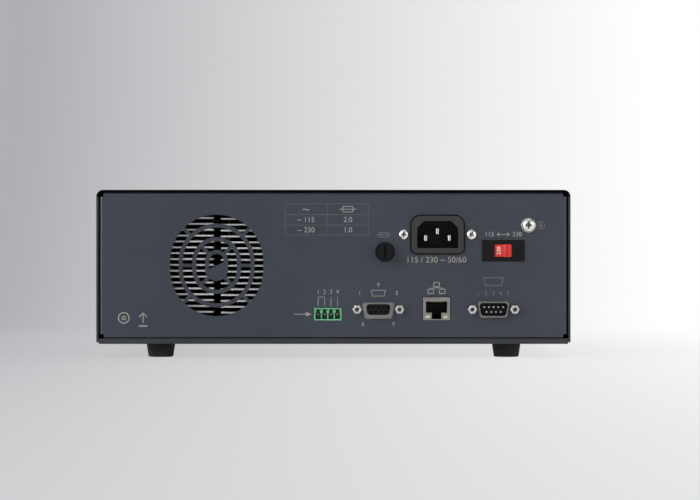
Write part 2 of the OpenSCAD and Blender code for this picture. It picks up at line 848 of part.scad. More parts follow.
module fuse_carrier() {
    color("#d8d2b8") rod(fuse_x, fuse_link_y, case_low + fuse_z, fuse_link_r, fuse_link_l);
}

module fuse_cap() {
    z = case_low + fuse_z;
    slot_w = 1.4;
    slot_d = 1.6;
    rib_count = 12;
    rib_r = 0.5;
    color("#202124") difference() {
        union() {
            rod(fuse_x, fuse_cap_y, z, fuse_cap_r - rib_r / 2, fuse_collar_y - fuse_gap - fuse_cap_y);
            rod(fuse_x, fuse_cap_y + 1, z, fuse_neck_r, fuse_neck_end - fuse_cap_y - 1);
            for (i = [0:rib_count - 1])
                rod(fuse_x + (fuse_cap_r - rib_r) * cos(i * 360 / rib_count), fuse_cap_y + 1,
                    z + (fuse_cap_r - rib_r) * sin(i * 360 / rib_count), rib_r,
                    fuse_collar_y - fuse_gap - fuse_cap_y - 1);
        }
        block(fuse_x, fuse_cap_y - over, z, slot_w, slot_d + over, 1.4 * fuse_cap_r);
        rod(fuse_x, fuse_link_y - fuse_gap, z, fuse_link_r + running, fuse_link_l);
    }
}

module selector_body() {
    z = case_low + selector_z;
    y = rear_y - selector_face_t;
    color("#17181a") difference() {
        union() {
            block(selector_x, y, z, selector_w, selector_face_t, selector_h);
            block(selector_x, rear_y, z, selector_body_w, selector_depth, selector_body_h);
        }
        block(selector_x, y - over, z, window_w, selector_face_t + 2 * over, window_h);
        block(selector_x, rear_y, z, selector_room, slider_t + 2 * slider_gap, window_h);
    }
}

module selector_slider() {
    z = case_low + selector_z;
    rest = selector_travel / 2;
    thumb_w = window_w / 2 - 0.4;
    thumb_x = selector_x + window_w / 2 - slider_gap - thumb_w / 2;
    slot_w = 1.2;
    color("#b8201c") difference() {
        union() {
            block(selector_x + rest, rear_y + slider_gap, z, slider_l, slider_t, window_h - 2 * slider_gap);
            block(thumb_x, rear_y - selector_face_t / 2, z, thumb_w, selector_face_t,
                window_h - 2 * slider_gap);
        }
        block(thumb_x, rear_y - over, z, slot_w, over + slider_gap, window_h - 2);
    }
}

module ground_screw() {
    z = case_low + ground_z;
    past = 2;
    color("silver") {
        rear_screw(ground_x, rear_y, z, ground_r, sheet_t + ground_nut_t + past, ground_head_d / 2,
            ground_head_h);
        difference() {
            translate([ground_x, panel_in + ground_nut_t, z]) rotate([90, 0, 0])
                cylinder(r = ground_nut_r, h = ground_nut_t, $fn = 6);
            rod(ground_x, panel_in - over, z, ground_r + seat, ground_nut_t + 2 * over);
        }
    }
}

// Connectors on the main board

module header_pins(grow, y, length) {
    for (i = [-1.5:1.5])
        block(header_x + i * header_pitch, y, case_low + header_z, header_pin + grow, length,
            header_pin + grow);
}

module terminal_header() {
    z = case_low + header_z;
    y = rear_y - header_proud;
    cell_w = header_pitch - header_rib;
    cell_h = header_h - 2 * header_wall;
    color("#2f9a54") difference() {
        union() {
            block(header_x, y, z, header_w, header_back - y, header_h);
            translate([header_x - header_w / 2, panel_in + 1, board_top])
                cube([header_w, header_back - panel_in - 1, z - board_top]);
        }
        block(header_x, y - over, z, 4 * header_pitch - header_rib, header_lip + over, cell_h);
        for (i = [-1.5:1.5]) translate([header_x + i * header_pitch, 0, 0]) {
            block(0, y - over, z, header_notch_w, header_depth + over, cell_h);
            block(0, y - over, z - (cell_h - header_step) / 2, cell_w, header_depth + over, header_step);
        }
        header_pins(2 * seat, y, header_back - y + over);
    }
}

module terminal_pins() {
    y = rear_y - header_proud + header_pin_set;
    color("#c4c4c0") header_pins(0, y, header_back - y);
}

module dsub_shell(x, size, wall) {
    z = case_low + dsub_z;
    y = rear_y - dsub_proud;
    color("#b4b8bb") difference() {
        union() {
            push(x, y, z, panel_in + dsub_flange_t - y) d_outline(size);
            block(x, panel_in, z, dsub_flange_w, dsub_flange_t, dsub_flange_h);
            children();
        }
        push(x, y - over, z, panel_in + dsub_flange_t - y + 2 * over)
            d_outline(size - 2 * [wall, wall]);
        for (s = [-1, 1])
            rod(x + s * jack_pitch / 2, panel_in - over, z, screw_hole_r, dsub_flange_t + 2 * over);
    }
}

module dsub_insert(x, size, wall, face_y) {
    z = case_low + dsub_z;
    back_y = panel_in + dsub_flange_t;
    push(x, face_y, z, back_y - face_y) d_outline(size - 2 * [wall + seat, wall + seat]);
    translate([x - dsub_body_w / 2, back_y, board_top])
        cube([dsub_body_w, dsub_back - back_y, z + dsub_body_h - board_top]);
}

// The female shell stands on a collar that fills its cut-out
module handler_shell() dsub_shell(handler_x, handler_size, handler_wall)
    push(handler_x, rear_y - collar_proud, case_low + dsub_z - collar_drop, collar_proud + sheet_t)
        d_outline(collar_size);

module handler_insert() {
    face_y = rear_y - dsub_proud + 0.3;
    hole_l = 5;
    color("#222326") difference() {
        dsub_insert(handler_x, handler_size, handler_wall, face_y);
        for (p = dsub_pins)
            rod(handler_x + p[0], face_y - over, case_low + dsub_z + p[1], dsub_hole_r, hole_l + over);
    }
}

module serial_shell() dsub_shell(serial_x, serial_size, serial_wall);

module serial_insert() {
    color("#222326") dsub_insert(serial_x, serial_size, serial_wall, rear_y);
}

module serial_pins() {
    tip = 0.8;
    y = rear_y - dsub_proud + tip;
    color("#c4c4c0") for (p = dsub_pins)
        rod(serial_x + p[0], y, case_low + dsub_z + p[1], dsub_pin_r, rear_y - y);
}

module jackscrews() {
    z = case_low + dsub_z;
    color("#c3c6c9") for (x = [handler_x, serial_x], s = [-1, 1]) difference() {
        union() {
            translate([x + s * jack_pitch / 2, rear_y, z]) rotate([90, 0, 0])
                cylinder(r = jack_hex_r, h = jack_l, $fn = 6);
            rod(x + s * jack_pitch / 2, rear_y, z, screw_r, sheet_t + dsub_flange_t + jack_tail);
        }
        rod(x + s * jack_pitch / 2, rear_y - jack_l - over, z, jack_bore_d / 2, jack_bore_l + over);
    }
}

module lan_opening() {
    translate([-lan_open_w / 2, lan_open_low]) square([lan_open_w, lan_open_top - lan_open_low]);
    translate([-lan_latch_w / 2, lan_latch_low]) square([lan_latch_w, lan_open_low - lan_latch_low + 0.1]);
}

module lan_shield() {
    z = case_low + lan_z;
    y = rear_y - lan_proud;
    color("#b4b8bb") difference() {
        block(lan_x, y, z, lan_w, lan_back - y, lan_h);
        block(lan_x, y + lan_wall, z, lan_w - 2 * lan_wall, lan_back - y, lan_h - 2 * lan_wall);
        push(lan_x, y - over, z, lan_wall + 2 * over) lan_opening();
    }
}

module lan_insert() {
    z = case_low + lan_z;
    y = rear_y - lan_proud + lan_wall;
    inner = 2 * (lan_wall + seat);
    color("#222326") difference() {
        block(lan_x, y, z, lan_w - inner, lan_back - y, lan_h - inner);
        push(lan_x, y - over, z, lan_depth + over) lan_opening();
    }
}

module lan_contacts() {
    y = rear_y + 1.5;
    length = 8;
    wide = 0.45;
    thick = 0.4;
    color("#d9b45a") for (i = [-3.5:3.5])
        block(lan_x + i * lan_pitch, y, case_low + lan_z + lan_open_top - thick / 2, wide, length, thick);
}

// Cooling tunnel: two comb heat sinks that face each other, with a fan at their inner end

module fan_screw_holes(r, y, d) {
    for (sx = [-1, 1], sz = [-1, 1])
        rod(vent_x + sx * fan_pitch / 2, y, case_low + vent_z + sz * fan_pitch / 2, r, d);
}

module heat_sink(side) {
    tip = fin_gap / 2;
    root = sink_half - sink_base_t;
    mid = case_low + vent_z - side * fin_step / 2;
    top = mid + (fin_count - 1) / 2 * fin_pitch + fin_t;
    color("#aeb2b5") difference() {
        union() {
            for (i = [0:fin_count - 1])
                block(vent_x + side * (tip + root + seat) / 2, sink_y,
                    mid + (i - (fin_count - 1) / 2) * fin_pitch, root + seat - tip, sink_l, fin_t);
            translate([vent_x + side * (root + sink_base_t / 2) - sink_base_t / 2, sink_y, floor_top])
                cube([sink_base_t, sink_l, top - floor_top]);
        }
        fan_screw_holes(fan_screw_r + seat, fan_y - fan_screw_grip - over, fan_screw_grip + 2 * over);
    }
}

module heat_sink_left() heat_sink(-1);
module heat_sink_right() heat_sink(1);

module fan_frame() {
    z = case_low + vent_z;
    back = fan_y + fan_d;
    strut_w = 4;
    bearing_r = fan_shaft_d / 2 + 2;
    bearing_l = fan_d - fan_hub_t - 9;
    color("#1d1e20") difference() {
        union() {
            difference() {
                block(vent_x, fan_y, z, fan_size, fan_d, fan_size);
                rod(vent_x, fan_y - over, z, fan_bore_r, fan_d + 2 * over);
                fan_screw_holes(fan_screw_r + 0.4, fan_y - over, fan_d + 2 * over);
            }
            rod(vent_x, back - fan_hub_t, z, fan_hub_r - 1, fan_hub_t);
            rod(vent_x, back - fan_hub_t - bearing_l, z, bearing_r, bearing_l);
            block(vent_x, back - fan_hub_t, z, fan_size - 2, fan_hub_t, strut_w);
            block(vent_x, back - fan_hub_t, z, strut_w, fan_hub_t, fan_size - 2);
        }
        rod(vent_x, fan_y - over, z, fan_shaft_d / 2 + running, fan_d + 2 * over);
    }
}

module fan_rotor() {
    z = case_low + vent_z;
    front = 3;
    cup_t = 2;
    cup_l = fan_d - fan_hub_t - front - 1.5;
    blade_chord = 14;
    blade_t = 1.4;
    blade_pitch = 40;
    blade_r = fan_bore_r - 1.6;
    color("#2a2b2e") {
        difference() {
            rod(vent_x, fan_y + front, z, fan_hub_r, cup_l);
            rod(vent_x, fan_y + front + cup_t, z, fan_hub_r - cup_t, cup_l);
        }
        rod(vent_x, fan_y + front + 1, z, fan_shaft_d / 2, fan_d - front - 3);
        for (i = [0:blade_count - 1])
            translate([vent_x, fan_y + front + cup_l / 2, z]) rotate([0, i * 360 / blade_count, 0])
                rotate([blade_pitch, 0, 0]) translate([fan_hub_r - cup_t / 2, -blade_t / 2, -blade_chord / 2])
                    cube([blade_r - fan_hub_r + cup_t / 2, blade_t, blade_chord]);
    }
}

module fan_screws() {
    color("silver") for (sx = [-1, 1], sz = [-1, 1])
        translate([vent_x + sx * fan_pitch / 2, fan_y + fan_d, case_low + vent_z + sz * fan_pitch / 2])
            rotate([-90, 0, 0])
                pan_screw(fan_screw_r, fan_d + fan_screw_grip, screw_head_r + 0.4, screw_head_h);
}

module power_transistors() {
    w = transistor_size[0];
    d = transistor_size[1];
    color("#1a1b1d") for (side = [-1, 1], at = [0.3, 0.7])
        block(vent_x + side * (sink_half + w / 2), sink_y + at * sink_l - d / 2, case_low + vent_z, w, d,
            transistor_size[2]);
}

// Boards and transformers

module main_board() {
    color("#1d6b3c") translate([board_left, board_y, board_low])
        cube([board_right - board_left, board_l, board_t]);
}

module board_standoffs() {
    color("#c8b27a") {
        for (x = [board_left + standoff_inset, board_right - standoff_inset],
                y = [board_y + 3 * standoff_inset, board_y + board_l - standoff_inset])
            translate([x, y, floor_top]) cylinder(r = standoff_r, h = board_low - floor_top);
        for (x = [soft_at, display_at + display_half + key_gap + standoff_r], s = [-1, 1])
            rod(x, key_board_y, case_mid + s * post_rise, standoff_r, key_space);
    }
}

module filter_capacitors() {
    can_r = 11;
    can_h = 36;
    color("#23304f") for (i = [0:2])
        translate([board_left + 30 + i * (2 * can_r + 6), board_y + board_l - 2 * can_r, board_top])
            cylinder(r = can_r, h = can_h);
}

module core(x, y, w, h) {
    leg = w / 3;
    window = [w / 6, h * 0.6];
    stack = w / 2;
    difference() {
        block(x, y - stack / 2, floor_top + h / 2, w, stack, h);
        for (s = [-1, 1])
            block(x + s * (leg + window[0]) / 2, y - stack / 2 - over, floor_top + h / 2, window[0],
                stack + 2 * over, window[1]);
    }
}

module winding(x, y, w, h) {
    leg = w / 3;
    stack = w / 2;
    room = w / 6;
    high = h * 0.6 - 2 * core_gap;
    outer = [leg + 2 * (room - core_gap), stack + 2 * winding_bulge];
    translate([x, y, floor_top + h / 2 - high / 2]) difference() {
        linear_extrude(high) rounded(outer[0], outer[1], 4);
        translate([0, 0, -over]) linear_extrude(high + 2 * over)
            square([leg + 2 * core_gap, stack + 2 * core_gap], center = true);
    }
}

module mains_core() color("#5b5f63") core(mains_x, rear_y + mains_y, mains_w, mains_h);
module mains_winding() color("#c79a3a") winding(mains_x, rear_y + mains_y, mains_w, mains_h);
module hv_core() color("#5b5f63") core(hv_core_x, rear_y + hv_core_y, hv_core_w, hv_core_h);
module hv_winding() color("#b5482f") winding(hv_core_x, rear_y + hv_core_y, hv_core_w, hv_core_h);

// High-voltage lead: from the winding's face in one soft bend to the socket's contact

function bend(t) = t * t * (3 - 2 * t);

module hv_lead() {
    rings = 14;
    sides = 8;
    start = [hv_core_x, rear_y + hv_core_y + hv_core_w / 4 + winding_bulge, floor_top + hv_core_h / 2];
    end = [hv_at, contact_back, case_low + socket_z];
    points = [for (i = [0:rings], k = [0:sides - 1])
        let (t = i / rings, c = start + (end - start) * bend(t), a = 360 * k / sides)
            [c[0] + hv_lead_d / 2 * cos(a), start[1] + (end[1] - start[1]) * t,
                c[2] + hv_lead_d / 2 * sin(a)]];
    walls = [for (i = [0:rings - 1], k = [0:sides - 1])
        let (a = i * sides + k, b = i * sides + (k + 1) % sides) [a, b, b + sides, a + sides]];
    first = [for (k = [sides - 1:-1:0]) k];
    last = [for (k = [0:sides - 1]) rings * sides + k];
    color("#a3201b") polyhedron(points, concat(walls, [first], [last]));
}

// Front: key board, display, keys, knob and sockets

module key_board() {
    left = return_at + socket_nut_r + 1;
    right = case_w / 2 - bezel_rim - bezel_ledge - 1;
    switch_r = 3;
    color("#1d6b3c") {
        translate([left, key_board_y - board_t, case_mid - ledge_h / 2 + 1])
            cube([right - left, board_t, ledge_h - 2]);
        for (p = concat(soft_places, [[start_at, test_z], [stop_at, test_z], [power_at, power_z]]))
            rod(p[0], key_board_y - seat, case_low + p[1], switch_r, key_switch_t + seat);
    }
}

module display_window() {
    color("#15181c") block(display_at, plate_in, case_low + display_z, display_w - cut_gap, plate_t,
        display_h - cut_gap);
}

module display_module() {
    color("#3c4046") block(display_at, key_board_y, case_low + display_z, 2 * display_half, key_space,
        display_h + 2 * display_frame);
}

// A key's hidden part: the stem between its flange and the switch, clear at the end of its travel
module key_stem(x, z, travel) {
    y = key_board_y + key_switch_t + key_gap + travel;
    rod(x, y, z, key_stem_r, plate_in - key_gap - y);
}

module square_key(x, z, w, h, proud, travel) {
    flange_y = plate_in - key_gap - key_flange_t;
    block(x, flange_y, z, w, plate_out + proud - flange_y, h);
    block(x, flange_y, z, w + 2 * key_flange_w, key_flange_t, h + 2 * key_flange_w);
    key_stem(x, z, travel);
}

module round_key(x, z, d, proud, travel) {
    flange_y = plate_in - key_gap - key_flange_t;
    rod(x, flange_y, z, d / 2, plate_out + proud - flange_y);
    rod(x, flange_y, z, d / 2 + key_flange_w, key_flange_t);
    key_stem(x, z, travel);
}

module power_button() {
    color("#e4e4e2") square_key(power_at, case_low + power_z, power_w, power_w, power_proud, power_travel);
}

module start_button() color("#2f9d4d")
    round_key(start_at, case_low + test_z, test_d, test_proud, test_travel);
module stop_button() color("#c3281f") round_key(stop_at, case_low + test_z, test_d, test_proud, test_travel);

module soft_key(i) {
    place = soft_places[i - 1];
    color("#6d7278") square_key(place[0], case_low + place[1], soft_w, soft_h, soft_proud, soft_travel);
}

module knob() {
    z = case_low + knob_z;
    gap = 0.6;
    shaft_l = plate_out + knob_proud - knob_hollow_l - key_board_y;
    color("#2b2d31") {
        difference() {
            rod(knob_at, plate_out + gap, z, knob_d / 2, knob_proud - gap);
            rod(knob_at, plate_out + gap - over, z, knob_hollow_r, knob_hollow_l + over);
            rod(knob_at + knob_d / 3, plate_out + knob_proud - 0.6, z, 1.6, over);
        }
        rod(knob_at, key_board_y + 1, z, knob_shaft_d / 2, shaft_l);
    }
}

module encoder() {
    z = case_low + knob_z;
    color("#b4b8bb") difference() {
        union() {
            block(knob_at, key_board_y, z, encoder_w, encoder_t, encoder_w);
            rod(knob_at, key_board_y, z, bush_r, plate_out + bush_past - key_board_y);
        }
        rod(knob_at, key_board_y + 0.5, z, knob_shaft_d / 2 + running, plate_out + bush_past - key_board_y);
    }
}

module danger_lamp() {
    z = case_low + lamp_z;
    color("#b3261e") {
        rod(lamp_at, plate_out, z, lamp_d / 2 + lamp_rim, lamp_rim);
        rod(lamp_at, plate_in - lamp_body_l, z, lamp_d / 2, lamp_body_l + plate_t + lamp_proud);
    }
}

module test_socket(x) {
    z = case_low + socket_z;
    mouth_y = plate_out + socket_proud - socket_mouth_l;
    difference() {
        union() {
            rod(x, plate_out, z, socket_d / 2, socket_proud);
            rod(x, socket_back, z, socket_tube_r, plate_out - socket_back);
        }
        rod(x, mouth_y, z, socket_mouth_r, socket_mouth_l + over);
        rod(x, socket_back - over, z, contact_r + seat, mouth_y - socket_back + 2 * over);
    }
    difference() {
        translate([x, plate_in, z]) rotate([90, 0, 0]) cylinder(r = socket_nut_r, h = socket_nut_t, $fn = 6);
        rod(x, plate_in - socket_nut_t - over, z, socket_tube_r + seat, socket_nut_t + 2 * over);
    }
}

module hv_socket() color("#b3261e") test_socket(hv_at);
module return_socket() color("#222326") test_socket(return_at);

module socket_contacts() {
    z = case_low + socket_z;
    color("#d9b45a") for (x = [hv_at, return_at]) difference() {
        rod(x, contact_back, z, contact_r, contact_front - contact_back);
        rod(x, socket_back, z, contact_bore_d / 2, contact_front - socket_back + over);
    }
}

bottom_chassis();
top_cover();
rear_panel();
front_bezel();
front_plate();
rubber_feet();
foot_screws();
cover_screws();
chassis_screws();
inlet_body();
inlet_pins();
inlet_screws();
fuse_holder();
fuse_carrier();
fuse_cap();
selector_body();
selector_slider();
ground_screw();
terminal_header();
terminal_pins();
handler_shell();
handler_insert();
serial_shell();
serial_insert();
serial_pins();
jackscrews();
lan_shield();
lan_insert();
lan_contacts();
heat_sink_left();
heat_sink_right();
fan_frame();
fan_rotor();
fan_screws();
power_transistors();
main_board();
board_standoffs();
filter_capacitors();
mains_core();
mains_winding();
hv_core();
hv_winding();
hv_lead();
key_board();
display_window();
display_module();
power_button();
start_button();
stop_button();
soft_key(1);  // soft_key_1
soft_key(2);  // soft_key_2
soft_key(3);  // soft_key_3
soft_key(4);  // soft_key_4
soft_key(5);  // soft_key_5
knob();
encoder();
danger_lamp();
hv_socket();
return_socket();
socket_contacts();
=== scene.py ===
"""The looks of a bench hipot tester: finishes, eased edges, screws, prints, display, knob and feet.
The rear panel faces -Y, +X is on the right as seen from the rear, and Z is up. Lengths are in metres,
apart from the prints, which are drawn in millimetres."""
import json
import math

import bmesh
import bpy
from mathutils import Matrix, Vector


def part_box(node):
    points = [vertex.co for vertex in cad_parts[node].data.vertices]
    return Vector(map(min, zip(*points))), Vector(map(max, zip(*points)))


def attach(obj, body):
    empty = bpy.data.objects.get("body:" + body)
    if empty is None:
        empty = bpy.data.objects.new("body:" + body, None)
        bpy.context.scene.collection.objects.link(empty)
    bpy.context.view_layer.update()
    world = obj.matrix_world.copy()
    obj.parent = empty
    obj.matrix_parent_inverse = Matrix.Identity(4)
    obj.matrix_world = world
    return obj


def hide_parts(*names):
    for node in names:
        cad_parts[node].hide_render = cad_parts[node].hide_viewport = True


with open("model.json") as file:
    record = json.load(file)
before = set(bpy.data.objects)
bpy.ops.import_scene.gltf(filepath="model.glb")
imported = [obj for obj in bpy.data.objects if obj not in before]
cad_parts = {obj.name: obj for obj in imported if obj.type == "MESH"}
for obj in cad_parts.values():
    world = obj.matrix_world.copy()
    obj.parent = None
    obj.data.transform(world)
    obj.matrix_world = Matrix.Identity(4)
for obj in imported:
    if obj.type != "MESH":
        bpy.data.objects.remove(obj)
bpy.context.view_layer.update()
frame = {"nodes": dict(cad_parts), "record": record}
record = frame["record"]
nodes = frame["nodes"]
scene = bpy.context.scene

MM = 0.001
MERGE = 1e-6
SHARP = math.radians(35)
LARGE_FACE = 0.002
BODY_OF = {node: body for body, members in record["behaviour"]["bodies"].items() for node in members}
SLOT_OF = {row["node"]: row["material_slot"] for row in record["subparts"]}

# Turns of a flat drawing, or of a piece made along +Z
TO_REAR = Matrix.Rotation(math.pi / 2, 4, "X")
TO_FRONT = Matrix.Rotation(math.pi, 4, "Z") @ TO_REAR

PANEL_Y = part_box("rear_panel")[0].y
FASCIA_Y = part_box("front_plate")[1].y
REAR = (PANEL_Y, TO_REAR, "case")
FRONT = (FASCIA_Y, TO_FRONT, "case")


def centre(node):
    """The middle of a node's box."""
    low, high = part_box(node)
    return (low + high) / 2


def welded(node):
    """A bmesh of a node, with its doubled points merged."""
    bm = bmesh.new()
    bm.from_mesh(nodes[node].data)
    bmesh.ops.remove_doubles(bm, verts=bm.verts, dist=MERGE)
    return bm


def solids(node):
    """The boxes of a node's separate solids, as pairs of corners."""
    bm = welded(node)
    left = set(bm.verts)
    boxes = []
    while left:
        reached = [left.pop()]
        corners = []
        while reached:
            vert = reached.pop()
            corners.append(vert.co.copy())
            for edge in vert.link_edges:
                other = edge.other_vert(vert)
                if other in left:
                    left.remove(other)
                    reached.append(other)
        low = Vector(min(c[i] for c in corners) for i in range(3))
        high = Vector(max(c[i] for c in corners) for i in range(3))
        boxes.append((low, high))
    bm.free()
    return sorted(boxes, key=lambda box: tuple(round(v, 5) for v in box[0]))


# Meshes

def smooth(mesh):
    """Smooth shading, with a crease at every sharp edge."""
    mesh.polygons.foreach_set("use_smooth", [True] * len(mesh.polygons))
    mesh.set_sharp_from_angle(angle=SHARP)
    return mesh


def mesh_from(bm, name, place=None):
    """The mesh of a bmesh, put in its place."""
    if place is not None:
        bm.transform(place)
    mesh = bpy.data.meshes.new(name)
    bm.to_mesh(mesh)
    bm.free()
    return smooth(mesh)


def settled(obj):
    """The plain mesh of an object with its modifiers worked in. The object itself is removed."""
    graph = bpy.context.evaluated_depsgraph_get()
    mesh = bpy.data.meshes.new_from_object(obj.evaluated_get(graph), depsgraph=graph)
    bpy.data.objects.remove(obj)
    return mesh


def loose(name, data):
    """An object in the scene that isn't a piece yet."""
    obj = bpy.data.objects.new(name, data)
    scene.collection.objects.link(obj)
    return obj


def piece(name, mesh, body, slot, material, *replaced):
    """A finished piece that rides on a body and may stand for some nodes."""
    obj = loose(name, mesh)
    mesh.materials.clear()
    mesh.materials.append(material)
    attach(obj, body)
    if replaced:
        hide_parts(*replaced)
    return obj


def levelled(mesh):
    """Lets each large face shade as flat right up to its eased edges."""
    normals = [corner.vector.copy() for corner in mesh.corner_normals]
    for face in mesh.polygons:
        if face.area > LARGE_FACE:
            for corner in face.loop_indices:
                normals[corner] = face.normal.copy()
    mesh.normals_split_custom_set(normals)
    return mesh


def eased(node, width, segments=2):
    """A copy of a node with its sharp edges rounded, which stands for the node."""
    bm = welded(node)
    bmesh.ops.dissolve_limit(bm, angle_limit=math.radians(0.5), verts=bm.verts, edges=bm.edges)
    obj = loose(node + "_rough", mesh_from(bm, node + "_rough"))
    bevel = obj.modifiers.new("Eased edges", "BEVEL")
    bevel.width = width
    bevel.segments = segments
    bevel.limit_method = "ANGLE"
    bevel.angle_limit = SHARP
    bevel.use_clamp_overlap = True
    bevel.harden_normals = True
    return piece(node + "_eased", levelled(settled(obj)), BODY_OF[node], *dress_of(node), node)


def lathe(profile, segments=48):
    """A bmesh turned about Z from (radius, height) points."""
    bm = bmesh.new()
    verts = [bm.verts.new((radius, 0, height)) for radius, height in profile]
    edges = [bm.edges.new(pair) for pair in zip(verts, verts[1:])]
    bmesh.ops.spin(bm, geom=verts + edges, cent=(0, 0, 0), axis=(0, 0, 1), angle=2 * math.pi, steps=segments)
    bmesh.ops.remove_doubles(bm, verts=bm.verts, dist=MERGE)
    bmesh.ops.recalc_face_normals(bm, faces=bm.faces)
    return bm


def round_edge(radius, height, ease, steps=4):
    """The points of a quarter circle from (radius, height - ease) to (radius - ease, height)."""
    turns = [math.pi / 2 * i / steps for i in range(steps + 1)]
    return [(radius - ease + ease * math.cos(a), height - ease + ease * math.sin(a)) for a in turns]


def prism(bm, low, high):
    """A solid between two rings of points."""
    low, high = ([bm.verts.new(point) for point in ring] for ring in (low, high))
    bm.faces.new(high)
    bm.faces.new(low[::-1])
    for i in range(len(low)):
        j = (i + 1) % len(low)
        bm.faces.new((low[i], low[j], high[j], high[i]))


def join_mesh(bm, mesh):
    """Adds a mesh to a bmesh, and removes the mesh."""
    bm.from_mesh(mesh)
    bpy.data.meshes.remove(mesh)


# Geometry Nodes

def new_tree(name, inputs):
    """An empty geometry tree with named inputs, and its two end nodes."""
    tree = bpy.data.node_groups.new(name, "GeometryNodeTree")
    for label, kind in inputs:
        tree.interface.new_socket(label, in_out="INPUT", socket_type="NodeSocket" + kind)
    tree.interface.new_socket("Geometry", in_out="OUTPUT", socket_type="NodeSocketGeometry")
    return tree, tree.nodes.new("NodeGroupInput"), tree.nodes.new("NodeGroupOutput")


def wire(tree, *rows):
    """Links nodes. A row is a node, its output, the next node and that one's input."""
    for source, output, target, entry in rows:
        tree.links.new(source.outputs[output], target.inputs[entry])


def end_tree(tree, start, end, last):
    """Makes the last node's instances real, gives them the finish and leads them out."""
    real = tree.nodes.new("GeometryNodeRealizeInstances")
    paint = tree.nodes.new("GeometryNodeSetMaterial")
    wire(tree, (last, "Instances", real, "Geometry"), (real, "Geometry", paint, "Geometry"),
         (start, "Finish", paint, "Material"), (paint, "Geometry", end, "Geometry"))
    return tree


def copies_tree():
    """Copies of one shape at each place, along the place's axis and turned by chance about it."""
    tree, start, end = new_tree("Copies at places", [
        ("Places", "Geometry"), ("Shape", "Object"), ("Largest Turn", "Float"), ("Seed", "Int"),
        ("Finish", "Material"),
    ])
    shape = tree.nodes.new("GeometryNodeObjectInfo")
    axis = tree.nodes.new("GeometryNodeInputNamedAttribute")
    axis.data_type = "FLOAT_VECTOR"
    axis.inputs["Name"].default_value = "axis"
    align = tree.nodes.new("FunctionNodeAlignRotationToVector")
    align.axis = "Z"
    put = tree.nodes.new("GeometryNodeInstanceOnPoints")
    chance = tree.nodes.new("FunctionNodeRandomValue")
    chance.data_type = "FLOAT"
    spin = tree.nodes.new("ShaderNodeCombineXYZ")
    turn = tree.nodes.new("GeometryNodeRotateInstances")
    wire(tree, (start, "Places", put, "Points"), (start, "Shape", shape, "Object"),
         (shape, "Geometry", put, "Instance"), (axis, "Attribute", align, "Vector"),
         (align, "Rotation", put, "Rotation"), (start, "Largest Turn", chance, "Max"),
         (start, "Seed", chance, "Seed"), (chance, "Value", spin, "Z"),
         (put, "Instances", turn, "Instances"), (spin, "Vector", turn, "Rotation"))
    return end_tree(tree, start, end, turn)


def ribs_tree():
    """Round ribs on a circle, along Z."""
    tree, start, end = new_tree("Ribs round a grip", [
        ("Places", "Geometry"), ("Count", "Int"), ("Radius", "Float"), ("Rib Radius", "Float"),
        ("Length", "Float"), ("Finish", "Material"),
    ])
    circle = tree.nodes.new("GeometryNodeMeshCircle")
    rib = tree.nodes.new("GeometryNodeMeshCylinder")
    rib.inputs["Vertices"].default_value = 10
    put = tree.nodes.new("GeometryNodeInstanceOnPoints")
    wire(tree, (start, "Count", circle, "Vertices"), (start, "Radius", circle, "Radius"),
         (start, "Rib Radius", rib, "Radius"), (start, "Length", rib, "Depth"),
         (circle, "Mesh", put, "Points"), (rib, "Mesh", put, "Instance"))
    return end_tree(tree, start, end, put)


def ticks_tree():
    """Flat marks on an arc about Z, each pointing at the middle."""
    tree, start, end = new_tree("Marks round a knob", [
        ("Places", "Geometry"), ("Count", "Int"), ("Radius", "Float"), ("Length", "Float"),
        ("Width", "Float"), ("Thickness", "Float"), ("First Angle", "Float"), ("Sweep", "Float"),
        ("Finish", "Material"),
    ])
    arc = tree.nodes.new("GeometryNodeCurveArc")
    points = tree.nodes.new("GeometryNodeCurveToPoints")
    points.mode = "EVALUATED"
    size = tree.nodes.new("ShaderNodeCombineXYZ")
    mark = tree.nodes.new("GeometryNodeMeshCube")
    put = tree.nodes.new("GeometryNodeInstanceOnPoints")
    wire(tree, (start, "Count", arc, "Resolution"), (start, "Radius", arc, "Radius"),
         (start, "First Angle", arc, "Start Angle"), (start, "Sweep", arc, "Sweep Angle"),
         (start, "Width", size, "Z"), (start, "Length", size, "X"), (start, "Thickness", size, "Y"),
         (size, "Vector", mark, "Size"), (arc, "Curve", points, "Curve"), (points, "Points", put, "Points"),
         (points, "Rotation", put, "Rotation"), (mark, "Mesh", put, "Instance"))
    return end_tree(tree, start, end, put)


def grown(tree, mesh, values):
    """The plain mesh that a geometry tree makes on a mesh, with its inputs set by their names."""
    obj = loose("growing", mesh)
    modifier = obj.modifiers.new("Growing", "NODES")
    modifier.node_group = tree
    for item in tree.interface.items_tree:
        if item.in_out == "INPUT" and item.name in values:
            modifier[item.identifier] = values[item.name]
    return settled(obj)


def copies(shape, places, material, largest_turn=0.0, seed=1):
    """One mesh of a shape's copies at (place, axis) pairs. The shape is a mesh made along +Z."""
    mesh = bpy.data.meshes.new("places")
    mesh.from_pydata([place for place, _ in places], [], [])
    axis = mesh.attributes.new("axis", "FLOAT_VECTOR", "POINT")
    axis.data.foreach_set("vector", [v for _, direction in places for v in direction])
    model = loose("shape", shape)
    made = grown(COPIES, mesh, {
        "Shape": model, "Largest Turn": largest_turn, "Seed": seed, "Finish": material,
    })
    bpy.data.objects.remove(model)
    return smooth(made)


COPIES = copies_tree()
RIBS = ribs_tree()
TICKS = ticks_tree()


# Finishes

def set_inputs(node, values):
    """Sets inputs of a shader node by their names in small letters."""
    for label, value in values.items():
        node.inputs[label.replace("_", " ").title().replace("Ior", "IOR")].default_value = value
    return node


